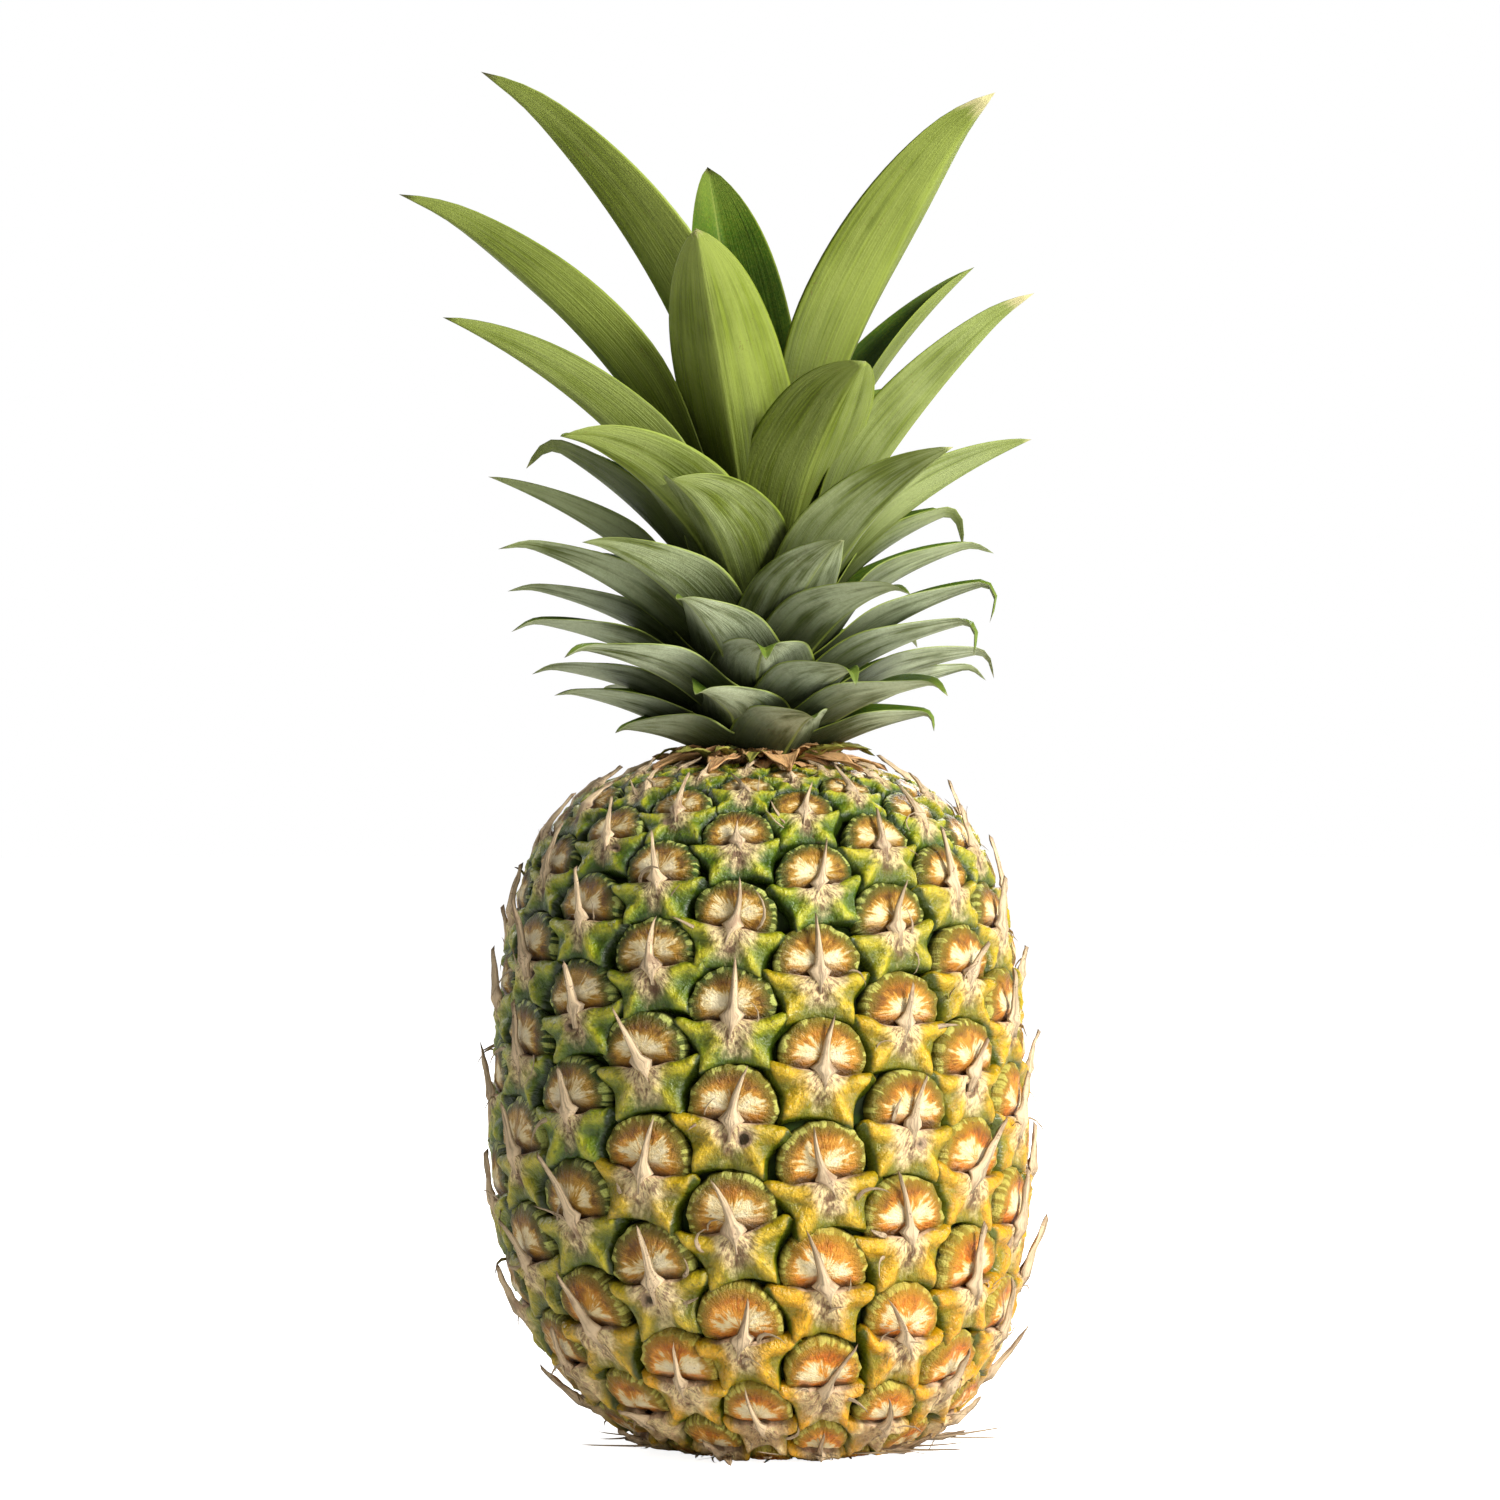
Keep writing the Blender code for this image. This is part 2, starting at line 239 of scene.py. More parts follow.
class PineappleColours(bpy.types.PropertyGroup):
    """Colours of the pineapple's surfaces."""

    leaf_young: colour("Upper leaf", "Olive green of the upper leaves", 106, 120, 26)
    leaf_old: colour("Lower leaf", "Grey green of the lower leaves", 92, 102, 50)
    leaf_inner: colour("Inner face", "Deeper green of a leaf's inner face", 70, 104, 16)
    leaf_bloom: colour("Bloom", "Pale waxy bloom on a young leaf's outer face", 138, 150, 66)
    leaf_frost: colour("Frost", "Pale grey bloom on an old leaf's outer face", 188, 196, 160)
    # Painted shade: the dark green at a leaf's foot stands in for the shadow the leaves cast on each
    # other.
    leaf_foot_painted_shade: colour("Leaf shade", "Dark green at a leaf's foot", 22, 32, 6)
    leaf_margin: colour("Margin", "Pale thin edge of a leaf", 150, 164, 54)
    leaf_dry: colour("Dry tip", "Dried end of a leaf", 196, 184, 132)
    # The groove colour is dark green rind, darkened further by painted shade.
    groove_green_and_shade: colour("Groove", "Dark green between the eyes", 28, 40, 6)
    cream: colour("Cream", "Pale tissue beside a spike", 238, 214, 156)
    ring: colour("Ring", "Ochre ring of an unripe eye", 154, 108, 18)
    ring_ripe: colour("Ripe ring", "Orange ring of a ripe eye", 216, 112, 12)
    ring_dark: colour("Dark ring", "Brown patches in an eye's ring", 98, 62, 12)
    rim: colour("Rim", "Pale green teeth round an eye", 180, 188, 96)
    blotch: colour("Blotch", "Red brown blotches on an eye", 92, 30, 16)
    bract_green: colour("Bract", "Yellow green of an unripe bract", 116, 132, 10)
    # The bract's crest colour is partly painted highlight, and its valley colour is partly painted shade.
    bract_light_and_highlight: colour("Bract crest", "Lighter yellow green on a bract's crests", 180, 176, 34)
    bract_dark_and_shade: colour("Bract valley", "Dark green in a bract's hollows", 56, 82, 8)
    bract_ripe: colour("Ripe bract", "Golden yellow of a ripe bract", 224, 158, 8)
    dry_pink: colour("Dry tissue", "Pinkish cream of dry bract tissue", 214, 178, 138)
    speck: colour("Speck", "Brown specks on dry tissue", 88, 48, 26)
    spike: colour("Spike", "Dry cream of a spike", 212, 186, 148)
    collar: colour("Collar", "Dry tan of the collar", 222, 174, 118)
    fresh_scale: colour("Green scale", "Yellow green of the collar's fresher scales", 150, 146, 62)
    stalk: colour("Cut stalk", "Pale brown of the cut stalk", 196, 160, 98)
    floor: colour("Floor", "Pale floor", 245, 245, 245)


# ---------------------------------------------------------------- shader help

WHITE = (1.0, 1.0, 1.0, 1.0)
SEED_SPREAD = 50.0
GRAIN_SCALE = 1500.0
BRACT_RELIEF = 1.2 * MM
FINE_RELIEF = 0.6 * MM
SOFT_RELIEF = 0.8 * MM


def linear(display):
    """A display colour as the linear colour that shaders use, with full alpha."""
    channels = [c / 12.92 if c <= 0.04045 else ((c + 0.055) / 1.055) ** 2.4 for c in display]
    return (*channels, 1.0)


def shade(display, factor):
    """A display colour made darker or lighter."""
    return tuple(min(channel * factor, 1.0) for channel in display)


class Recipe:
    """Makes and joins shader nodes in one node tree."""

    def __init__(self, tree):
        self.tree = tree

    def feed(self, socket, value):
        if isinstance(value, bpy.types.NodeSocket):
            self.tree.links.new(value, socket)
        else:
            socket.default_value = value

    def node(self, kind, *values, named=(), **settings):
        """A new node: values feed its first inputs, named ones the inputs of that name."""
        made = self.tree.nodes.new(kind)
        count = len(self.tree.nodes)
        made.location = (count * 180, -(count % 5) * 220)
        for name, value in settings.items():
            setattr(made, name, value)
        fed = [*zip(made.inputs, values), *((made.inputs[name], value) for name, value in named)]
        for socket, value in fed:
            self.feed(socket, value)
        return made

    def math(self, operation, *values):
        return self.node("ShaderNodeMath", *values, operation=operation).outputs[0]

    def plus(self, total, *others):
        for other in others:
            total = self.math("ADD", total, other)
        return total

    def minus(self, first, second):
        return self.math("SUBTRACT", first, second)

    def times(self, product, *others):
        for other in others:
            product = self.math("MULTIPLY", product, other)
        return product

    def swing(self, value, amount):
        """How far a value from 0 to 1 is from its middle, times an amount."""
        return self.times(self.minus(value, 0.5), amount)

    def length(self, vector):
        return self.node("ShaderNodeVectorMath", vector, operation="LENGTH").outputs["Value"]

    def direction(self, vector):
        """Across and up of a flat vector's direction."""
        unit = self.node("ShaderNodeVectorMath", vector, operation="NORMALIZE").outputs["Vector"]
        return self.split(unit)[:2]

    def join(self, x, y, z=0.0):
        return self.node("ShaderNodeCombineXYZ", x, y, z).outputs[0]

    def split(self, vector):
        return self.node("ShaderNodeSeparateXYZ", vector).outputs

    def place(self):
        return self.node("ShaderNodeTexCoord").outputs["Object"]

    def chart(self):
        return self.split(self.node("ShaderNodeUVMap", uv_map="UVMap").outputs[0])[:2]

    def fact(self, name):
        return self.node("ShaderNodeAttribute", attribute_name=name).outputs["Fac"]

    def noise(self, vector, scale, detail=3.0, roughness=0.5):
        named = (("Vector", vector), ("Scale", scale), ("Detail", detail), ("Roughness", roughness))
        return self.node("ShaderNodeTexNoise", named=named).outputs["Fac"]

    def window(self, value, low, high, start=0.0, end=1.0):
        """A smooth change from start to end while the value goes from low to high."""
        ends = (value, low, high, start, end)
        return self.node("ShaderNodeMapRange", *ends, interpolation_type="SMOOTHSTEP").outputs["Result"]

    def mix(self, share, first, second):
        made = self.node("ShaderNodeMix", share, data_type="RGBA")
        for socket, value in zip(made.inputs[6:8], (first, second)):
            self.feed(socket, value if isinstance(value, bpy.types.NodeSocket) else linear(value))
        return made.outputs[2]

    def coats(self, look, *coats):
        """Lay one coat after another over a look, each a share and a colour."""
        for share, coat in coats:
            look = self.mix(share, look, coat)
        return look

    def specks(self, amount):
        tree = speck_group()
        named = (("Vector", self.place()), ("Share", amount))
        return self.node("ShaderNodeGroup", node_tree=tree, named=named).outputs["Mask"]

    def fibres(self, across, along, fineness, seed):
        tree = fibre_group()
        return self.node("ShaderNodeGroup", across, along, fineness, seed, node_tree=tree).outputs["Value"]


class Finish(Recipe):
    """The recipe of a new material, which feeds its Principled shader."""

    def __init__(self, name):
        self.material = bpy.data.materials.new(name)
        self.material.use_nodes = True
        super().__init__(self.material.node_tree)
        self.sockets = self.tree.nodes["Principled BSDF"].inputs

    def done(self, look, roughness, relief, strength, depth, specular=0.5):
        """Join colour, roughness and relief to the shader, and give the material."""
        named = (("Strength", strength), ("Distance", depth), ("Height", relief))
        bump = self.node("ShaderNodeBump", named=named).outputs["Normal"]
        for name, value in (("Base Color", look), ("Roughness", roughness), ("Normal", bump)):
            self.feed(self.sockets[name], value)
        self.sockets["Specular IOR Level"].default_value = specular
        return self.material


def new_group(name, inputs, output, build):
    """A node group with one output value, made at its first use; build gives the value."""
    if name in bpy.data.node_groups:
        return bpy.data.node_groups[name]
    tree = bpy.data.node_groups.new(name, "ShaderNodeTree")
    for socket_name in inputs:
        kind = "NodeSocketVector" if socket_name == "Vector" else "NodeSocketFloat"
        tree.interface.new_socket(name=socket_name, in_out="INPUT", socket_type=kind)
    tree.interface.new_socket(name=output, in_out="OUTPUT", socket_type="NodeSocketFloat")
    recipe = Recipe(tree)
    given = recipe.node("NodeGroupInput").outputs
    recipe.node("NodeGroupOutput", build(recipe, *[given[socket_name] for socket_name in inputs]))
    return tree


def speck_group():
    """Node group: small specks where a fine noise passes a threshold, gathered in patches."""

    def build(r, vector, share):
        fine = r.noise(vector, 1900.0, 2.0)
        patches = r.noise(vector, 210.0, 1.0)
        level = r.plus(fine, r.times(patches, 0.55))
        return r.window(r.minus(level, r.minus(1.05, share)), 0.0, 0.06)

    return new_group("Brown specks", ("Vector", "Share"), "Mask", build)


def fibre_group():
    """Node group: fine fibres that run along a chart's second direction."""

    def build(r, across, along, fineness, seed):
        stretched = r.join(r.times(across, fineness), r.times(along, 2.2), r.times(seed, 37.0))
        return r.noise(stretched, 1.0, 4.0, 0.6)

    return new_group("Dry fibres", ("Across", "Along", "Fineness", "Seed"), "Value", build)


# ---------------------------------------------------------------- finishes

# Colours inside the finishes, in display values; a pair is for unripe and for ripe tissue.
LIGHT_RING = ((0.74, 0.56, 0.20), (0.92, 0.60, 0.16))
GREEN_RING = ((0.33, 0.33, 0.05), (0.66, 0.48, 0.05))
RIPE_RIM = (0.84, 0.68, 0.20)
PALEST = (0.98, 0.93, 0.80)
# The ripe hollow and border colours are partly painted shade.
RIPE_HOLLOW = (0.56, 0.50, 0.03)
RIPE_BORDER = (0.34, 0.36, 0.03)
PIT_DARK = (0.27, 0.20, 0.10)


def shield_finish(colours, sizes):
    """An eye's shield: pale lobes by the spike, an ochre ring, a toothed pale rim and a dark edge, partly
    painted shade where it falls into the groove.
    """
    r = Finish("eye_shield")
    across, up = r.chart()
    a = r.swing(across, CHART / sizes.shield_width)
    b = r.swing(up, CHART / sizes.shield_height)
    ring = r.length(r.join(a, b))
    seed = r.times(r.fact("seed"), SEED_SPREAD)
    ripe = r.fact("ripe")
    ray_x, ray_y = r.direction(r.join(a, b))
    rays = r.noise(r.join(ray_x, ray_y, r.plus(seed, r.times(ring, 0.5))), 7.0, 3.0, 0.6)
    coarse = r.noise(r.join(a, b, seed), 2.2, 2.0)
    patches = r.noise(r.join(a, b, r.plus(seed, 3.0)), 1.7, 2.0)
    teeth = r.noise(r.join(ray_x, ray_y, r.plus(seed, 9.0)), 7.5, 1.0)
    grain = r.noise(r.place(), GRAIN_SCALE, 3.0, 0.7)
    orange = r.math("POWER", ripe, 1.6)
    ring_look = r.mix(orange, colours.ring, colours.ring_ripe)
    light_ring = r.mix(orange, *LIGHT_RING)

    # The ring: dark and light rays, brown patches, and red brown blotches where it is ripe.
    brown = r.times(r.window(coarse, 0.54, 0.64), r.window(ring, 0.35, 0.60))
    brown = r.times(brown, r.window(ripe, 0.1, 0.9, 0.75, 0.35))
    blotch = r.times(r.window(patches, 0.42, 0.34), r.window(ring, 0.55, 0.75))
    blotch = r.times(blotch, r.window(ripe, 0.25, 0.60), 0.85)
    look = r.mix(r.window(rays, 0.42, 0.62), shade(colours.ring_dark, 1.15), ring_look)
    look = r.coats(
        look,
        (r.times(ripe, 0.4), ring_look),
        (r.window(patches, 0.50, 0.62, 0.0, 0.8), light_ring),
        (brown, colours.ring_dark),
        (blotch, colours.blotch),
    )

    # The two pale lobes, frayed along the rays, and the shadow over the spike's root.
    lobe = r.join(r.minus(r.math("ABSOLUTE", a), 0.26), r.times(r.minus(b, 0.08), 1.05))
    lobe = r.plus(r.length(lobe), r.swing(rays, 0.85), r.swing(coarse, 1.05))
    low = r.plus(b, sizes.shield_middle / sizes.shield_height, r.times(coarse, 0.30))
    look = r.coats(
        look,
        (r.window(lobe, 0.52, 0.32), light_ring),
        (r.window(lobe, 0.34, 0.19), colours.cream),
        (r.window(lobe, 0.14, 0.0, 0.0, 0.5), PALEST),
        (r.window(low, 0.42, 0.30, 0.0, 0.7), ring_look),
        (r.window(low, 0.30, 0.16, 0.0, 0.85), shade(colours.ring_dark, 0.65)),
    )

    # The green border with its pale teeth, the dark edge that is partly painted shade at the groove, then
    # specks and grain all over.
    border = r.plus(ring, r.swing(rays, 0.30))
    rim_look = r.mix(r.window(teeth, 0.47, 0.56), shade(colours.groove_green_and_shade, 1.9), colours.rim)
    rim_look = r.mix(r.times(ripe, 0.45), rim_look, RIPE_RIM)
    look = r.coats(
        look,
        (r.window(border, 0.56, 0.80, 0.0, 0.92), r.mix(orange, *GREEN_RING)),
        (r.times(r.window(border, 0.80, 0.86), r.window(coarse, 0.3, 0.5, 0.6, 1.0)), rim_look),
        (r.window(ring, 0.955, 0.99), colours.groove_green_and_shade),
        (r.times(r.specks(0.06), 0.6), colours.speck),
        (r.window(grain, 0.35, 0.60, 0.10, 0.0), shade(colours.ring_dark, 0.9)),
        (r.window(grain, 0.60, 0.75, 0.0, 0.10), colours.cream),
    )
    relief = r.plus(r.times(rays, r.window(ring, 0.1, 0.6, 0.4, 1.4)), grain)
    return r.done(look, r.window(coarse, 0.3, 0.7, 0.34, 0.55), relief, 0.75, BRACT_RELIEF, 0.42)


def bract_finish(colours):
    """A bract: light crests and dark green hollows, partly painted highlight and painted shade, turning
    gold; dry, pale and torn by the spike.
    """
    r = Finish("bract")
    across, up = r.chart()
    seed = r.times(r.fact("seed"), SEED_SPREAD)
    a = r.swing(across, CHART / MM)
    b = r.swing(up, CHART / MM)
    side = r.math("ABSOLUTE", a)
    worn, edge = r.fact("worn"), r.fact("edge")
    ripe = r.math("POWER", r.fact("ripe"), 0.9)
    mottling = r.noise(r.join(a, b, seed), 0.34)
    clouds = r.noise(r.join(a, b, r.plus(seed, 5.0)), 0.13, 2.0)
    grain = r.noise(r.place(), GRAIN_SCALE, 3.0, 0.7)
    ray_x, ray_y = r.direction(r.join(a, r.minus(b, 0.6)))
    run = r.plus(seed, r.times(r.length(r.join(a, b)), 0.08))
    lines = r.noise(r.join(ray_x, ray_y, run), 8.0, 4.0, 0.6)

    # Green to golden tissue: dark in the hollows and along the border, light on the crests; the dark is
    # partly painted shade and the light partly painted highlight.
    crest = r.plus(r.fact("crest"), r.swing(mottling, 0.7))
    hollow = r.mix(ripe, colours.bract_dark_and_shade, RIPE_HOLLOW)
    flank = r.mix(ripe, colours.bract_green, shade(colours.bract_ripe, 0.86))
    top = r.mix(ripe, colours.bract_light_and_highlight, shade(colours.bract_ripe, 1.05))
    border = r.mix(ripe, shade(colours.bract_dark_and_shade, 0.6), RIPE_BORDER)
    look = r.coats(
        r.mix(r.window(crest, -0.06, 0.40), hollow, flank),
        (r.window(crest, 0.38, 0.98, 0.0, 0.95), top),
        (r.window(lines, 0.50, 0.70, 0.0, 0.62), hollow),
        (r.window(clouds, 0.38, 0.54, 0.35, 0.0), hollow),
        (r.window(r.plus(edge, r.swing(clouds, 0.8)), 0.08, 0.50), border),
    )

    # The dry patch round the spike's root, its creases, and the brown streak and specks below it.
    reach = r.length(r.join(r.times(a, 0.85), r.times(b, 0.62)))
    dryness = r.plus(reach, r.swing(mottling, 3.4), r.swing(lines, 4.2), r.swing(clouds, 6.0))
    dryness = r.minus(dryness, r.times(worn, 4.5))
    dry_look = r.coats(
        r.mix(r.window(lines, 0.40, 0.64), colours.cream, colours.dry_pink),
        (r.window(mottling, 0.52, 0.72, 0.0, 0.5), shade(colours.collar, 0.58)),
        (r.times(worn, r.window(clouds, 0.42, 0.58, 0.0, 0.8)), shade(colours.collar, 0.72)),
    )
    creases = r.times(r.window(lines, 0.50, 0.60), r.window(reach, 6.5, 2.0), 0.60)
    streak = r.times(r.window(b, -1.5, -3.5), r.window(b, -9.0, -5.5))
    streak = r.times(r.window(side, 2.4, 0.5), streak, r.window(mottling, 0.44, 0.56), 0.85)
    look = r.coats(
        look,
        (r.window(dryness, 5.8, 2.0, 0.0, 0.92), dry_look),
        (creases, shade(colours.speck, 1.1)),
        (streak, colours.speck),
        (r.times(r.specks(0.07), r.window(dryness, 11.0, 3.0, 0.2, 0.65)), colours.speck),
    )

    # The torn pit, the dry upper lip and the dark line in the groove, which is partly painted shade.
    pit = r.times(r.fact("pit"), r.window(mottling, 0.30, 0.55, 0.7, 1.1))
    lip = r.times(r.fact("lip"), r.window(mottling, 0.30, 0.46, 0.5, 1.0))
    lip_look = r.mix(r.window(side, 3.5, 7.5), colours.dry_pink, shade(colours.collar, 0.55))
    look = r.coats(
        look,
        (r.window(pit, 0.22, 0.42), shade(colours.dry_pink, 0.8)),
        (r.window(pit, 0.46, 0.70), PIT_DARK),
        (r.times(r.window(lip, 0.35, 0.75), r.window(side, 11.0, 6.0)), lip_look),
        (r.window(edge, 0.88, 1.0), colours.groove_green_and_shade),
        (r.window(grain, 0.35, 0.60, 0.25, 0.0), shade(colours.bract_dark_and_shade, 0.8)),
    )
    relief = r.plus(r.times(lines, 1.4), mottling, r.times(grain, 0.2))
    return r.done(look, r.window(dryness, 3.0, 7.0, 0.66, 0.30), relief, 0.6, BRACT_RELIEF)


def dry_finish(colours, name, base, dark):
    """Dry papery tissue with fibres along it, for spikes, collar and base."""
    r = Finish(name)
    across, along = r.chart()
    seed = r.fact("seed")
    fibres = r.fibres(across, along, 9.0, seed)
    patches = r.noise(r.join(across, r.times(along, 2.0), r.times(seed, 31.0)), 2.2)
    look = r.coats(
        r.mix(r.window(fibres, 0.42, 0.68), base, shade(base, 0.72)),
        (r.window(patches, 0.52, 0.74, 0.0, 0.75), dark),
        (r.window(along, 0.80, 1.0, 0.0, 0.55), shade(dark, 0.9)),
        (r.times(r.specks(0.09), 0.6), colours.speck),
    )
    return r.done(look, r.window(fibres, 0.3, 0.7, 0.6, 0.85), fibres, 0.7, FINE_RELIEF, 0.3)


def groove_finish(colours):
    """The rind deep between the eyes: dark green, darkened further by painted shade, mottled and matt."""
    r = Finish("groove_green_and_shade")
    mottling = r.noise(r.place(), 260.0, 4.0)
    look = r.mix(r.window(mottling, 0.35, 0.65), shade(colours.groove_green_and_shade, 0.7), shade(colours.groove_green_and_shade, 1.3))
    return r.done(look, r.window(mottling, 0.3, 0.7, 0.75, 0.9), mottling, 0.5, SOFT_RELIEF, 0.15)


def leaf_finish(colours):
    """A crown leaf: lengthways lines, waxy bloom outside, deeper green inside, pale edge, dry tip."""
    r = Finish("crown_leaf")
    across, along = r.chart()
    seed, young = r.fact("seed"), r.fact("young")
    side = r.math("ABSOLUTE", r.swing(across, 2.0))
    lines, streaks, bands = (r.fibres(across, along, fineness, seed) for fineness in (55.0, 16.0, 7.0))
    scales = r.noise(r.place(), 1300.0, 3.0, 0.7)
    clouds = r.noise(r.place(), 55.0, 4.0, 0.55)

    # The outer face, with its waxy bloom, and the inner face.
    deep = r.mix(young, shade(colours.leaf_old, 0.60), shade(colours.leaf_young, 0.68))
    bloom = r.plus(r.times(clouds, 0.45), r.times(bands, 0.6), r.times(streaks, 0.5))
    bloom = r.times(
        r.window(bloom, 0.58, 0.88),
        r.window(scales, 0.36, 0.60, 0.84, 1.0),
        r.window(along, 0.20, 0.55, 0.20, 1.0),
        r.window(young, 0.0, 1.0, 0.95, 0.65),
    )
    outer = r.coats(
        r.mix(young, colours.leaf_old, colours.leaf_young),
        (r.window(lines, 0.38, 0.62, 0.0, 0.7), deep),
        (r.window(streaks, 0.48, 0.62, 0.0, 0.7), deep),
        (bloom, r.mix(young, colours.leaf_frost, colours.leaf_bloom)),
    )
    inside = r.coats(
        colours.leaf_inner,
        (r.window(scales, 0.40, 0.62, 0.0, 0.5), shade(colours.leaf_young, 1.05)),
        (r.window(lines, 0.50, 0.72, 0.0, 0.6), shade(colours.leaf_inner, 0.56)),
        (r.window(clouds, 0.45, 0.65, 0.0, 0.5), shade(colours.leaf_inner, 0.6)),
    )

    # The painted shade at the foot, where the leaves shadow each other, the midrib, the thin edge, and the
    # pale and the dry end.
    foot = r.math("DIVIDE", r.plus(along, r.swing(bands, 0.16)), r.window(young, 0.0, 1.0, 0.74, 0.58))
    end = r.plus(along, r.swing(bands, 0.10))
    dry_look = r.mix(r.window(lines, 0.48, 0.66, 0.0, 0.7), colours.leaf_dry, colours.leaf_old)
    look = r.coats(
        r.mix(r.fact("inner"), outer, inside),
        (r.window(foot, 1.0, 0.0, 0.0, 0.90), colours.leaf_foot_painted_shade),
        (r.window(side, 0.05, 0.01, 0.0, 0.6), colours.leaf_bloom),
        (r.window(r.plus(side, r.swing(bands, 0.06)), 0.955, 0.995, 0.0, 0.55), colours.leaf_margin),
        (r.window(end, 0.78, 0.96, 0.0, 0.35), colours.leaf_bloom),
        (r.window(r.plus(end, r.fact("dry")), 0.975, 1.015, 0.0, 0.92), dry_look),
        (r.times(r.specks(0.04), 0.35), colours.speck),
    )
    relief = r.plus(lines, r.times(scales, 0.45))
    return r.done(look, r.window(scales, 0.3, 0.7, 0.42, 0.60), relief, 0.5, FINE_RELIEF, 0.25)


def stem_finish(colours):
    """The crown's stem: pale green with cross rings where leaves sat."""
    r = Finish("crown_stem_rind")
    x, y, z = r.split(r.place())
    rings = r.noise(r.join(r.times(x, 30.0), r.times(y, 30.0), z), 420.0)
    look = r.mix(r.window(rings, 0.4, 0.6), shade(colours.leaf_bloom, 0.8), colours.rim)
    return r.done(look, r.window(rings, 0.3, 0.7, 0.5, 0.7), rings, 0.5, SOFT_RELIEF)


# ---------------------------------------------------------------- the fruit's shape


def profile_point(turn):
    """Radius and height on the fruit's profile, for a turn from -90 degrees (bottom) to 90 (top)."""
    upper = turn > 0
    reach, (rise_power, round_power) = (
        (UPPER_REACH, UPPER_POWERS) if upper else (LOWER_REACH, LOWER_POWERS)
    )
    share = abs(math.sin(turn)) ** (2 / rise_power)
    radius = WAIST_RADIUS * abs(math.cos(turn)) ** (2 / round_power)
    if upper:
        radius *= 1 - UPPER_TAPER * share
    return radius, WAIST_HEIGHT + math.copysign(reach * share, turn)


def measured_profile():
    """Rows of (length along the profile, radius, height) from the bottom ring to the top ring."""
    turns = [math.pi * (step / PROFILE_STEPS - 0.5) for step in range(PROFILE_STEPS + 1)]
    points = [point for point in map(profile_point, turns) if point[0] >= RING_RADIUS]
    rows = [(0.0, *points[0])]
    for (r0, z0), (r1, z1) in zip(points, points[1:]):
        rows.append((rows[-1][0] + math.hypot(r1 - r0, z1 - z0), r1, z1))
    return rows


PROFILE = measured_profile()
PROFILE_MARKS = [row[0] for row in PROFILE]
PROFILE_LENGTH = PROFILE_MARKS[-1]


def on_profile(along):
    """Radius, height and outward direction (radial, vertical) at a length along the profile."""
    index = min(max(bisect_right(PROFILE_MARKS, along), 1), len(PROFILE) - 1)
    (s0, r0, z0), (s1, r1, z1) = PROFILE[index - 1], PROFILE[index]
    share = (along - s0) / (s1 - s0)
    outward = Vector((z1 - z0, r0 - r1)).normalized()
    return r0 + (r1 - r0) * share, z0 + (z1 - z0) * share, outward


def axis_shift(height):
    """Sideways place of the fruit's axis at a height: it leans away from the base centre."""
    share = min(max(height / LEAN_HEIGHT, 0.0), 1.0)
    return -LEAN * (1 - (1 - share) ** 2)


def skin_point(angle, along, lift):
    """A point of the fruit, lifted off its skin and kept above the floor; angle 0 faces the front."""
    radius, height, outward = on_profile(along)
    radius += lift * outward.x
    height = max(height + lift * outward.y, FRUIT_LOW.z + FLOOR_GAP)
    return Vector((axis_shift(height) + radius * math.sin(angle), -radius * math.cos(angle), height))


# One eye: place on the spiral, height of its cell, and what makes it differ from the others.
Eye = namedtuple("Eye", "number angle along cell seed ripe worn tilt")


def eye_lattice():
    """Every eye of the fruit, from the lowest up, each with its own seeded random character."""
    start = next(row[0] for row in PROFILE if row[2] >= FIRST_EYE_HEIGHT)
    eyes = []
    for direction, count in ((1, EYES_ABOVE), (-1, EYES_BELOW)):
        along = start
        for step in range(count):
            narrowing = max(on_profile(along)[0] / WAIST_RADIUS, NARROWEST) ** 0.5
            rise = RISE_PER_EYE * narrowing * (1 + RISE_GROWTH * (start - along))
            if (step or direction > 0) and 0 < along < PROFILE_LENGTH:
                number = direction * step
                eyes.append(make_eye(number, FIRST_EYE_ANGLE + DIVERGENCE * number, along, rise))
            along += direction * rise
    return sorted(eyes, key=lambda eye: eye.number)


def make_eye(number, angle, along, rise):
    """An eye with its seed, tilt and ripeness; the front right of the base is the ripest."""
    chance = random.Random(number + 1000)
    height = on_profile(along)[1]
    ripeness = 0.96 - 1.35 * height / FRUIT_HIGH.z + 0.48 * math.sin(angle + 0.30)
    ripeness += chance.uniform(-0.16, 0.16)
    worn = 0.75 * ease((42 * MM - height) / (34 * MM)) + chance.uniform(-0.15, 0.25)
    return Eye(
        number=number,
        angle=angle + math.radians(chance.uniform(-0.9, 0.9)),
        along=along + chance.uniform(-0.4, 0.4) * MM,
        cell=rise * COLUMNS,
        seed=chance.random(),
        ripe=min(max(ripeness, 0.0), 1.0),
        worn=min(max(worn, 0.0), 1.0),
        tilt=math.radians(chance.uniform(-9.0, 9.0)),
    )


def on_eye(eye, across, up, lift):
    """A point of an eye, given in a full-size eye's measures from the root of its spike."""
    c, s = math.cos(eye.tilt), math.sin(eye.tilt)
    across, up = across * c - up * s, across * s + up * c
    scale = eye.cell / CELL_HEIGHT
    return skin_point(
        eye.angle + across / CELL_WIDTH * CELL_TURN,
        eye.along + up * scale,
        lift * min(scale, 1.0),
    )


def eyes_in_sight(smallest):
    """The eyes whose cell is at least so high, and which aren't under the base or the crown."""
    return [
        eye
        for eye in eye_lattice()
        if eye.cell > smallest
        and on_profile(eye.along)[0] > INNERMOST_EYE
        and on_profile(eye.along)[1] > LOWEST_EYE
    ]


def ease(share):
    """A smooth step from 0 to 1."""
    share = min(max(share, 0.0), 1.0)
    return share * share * (3 - 2 * share)


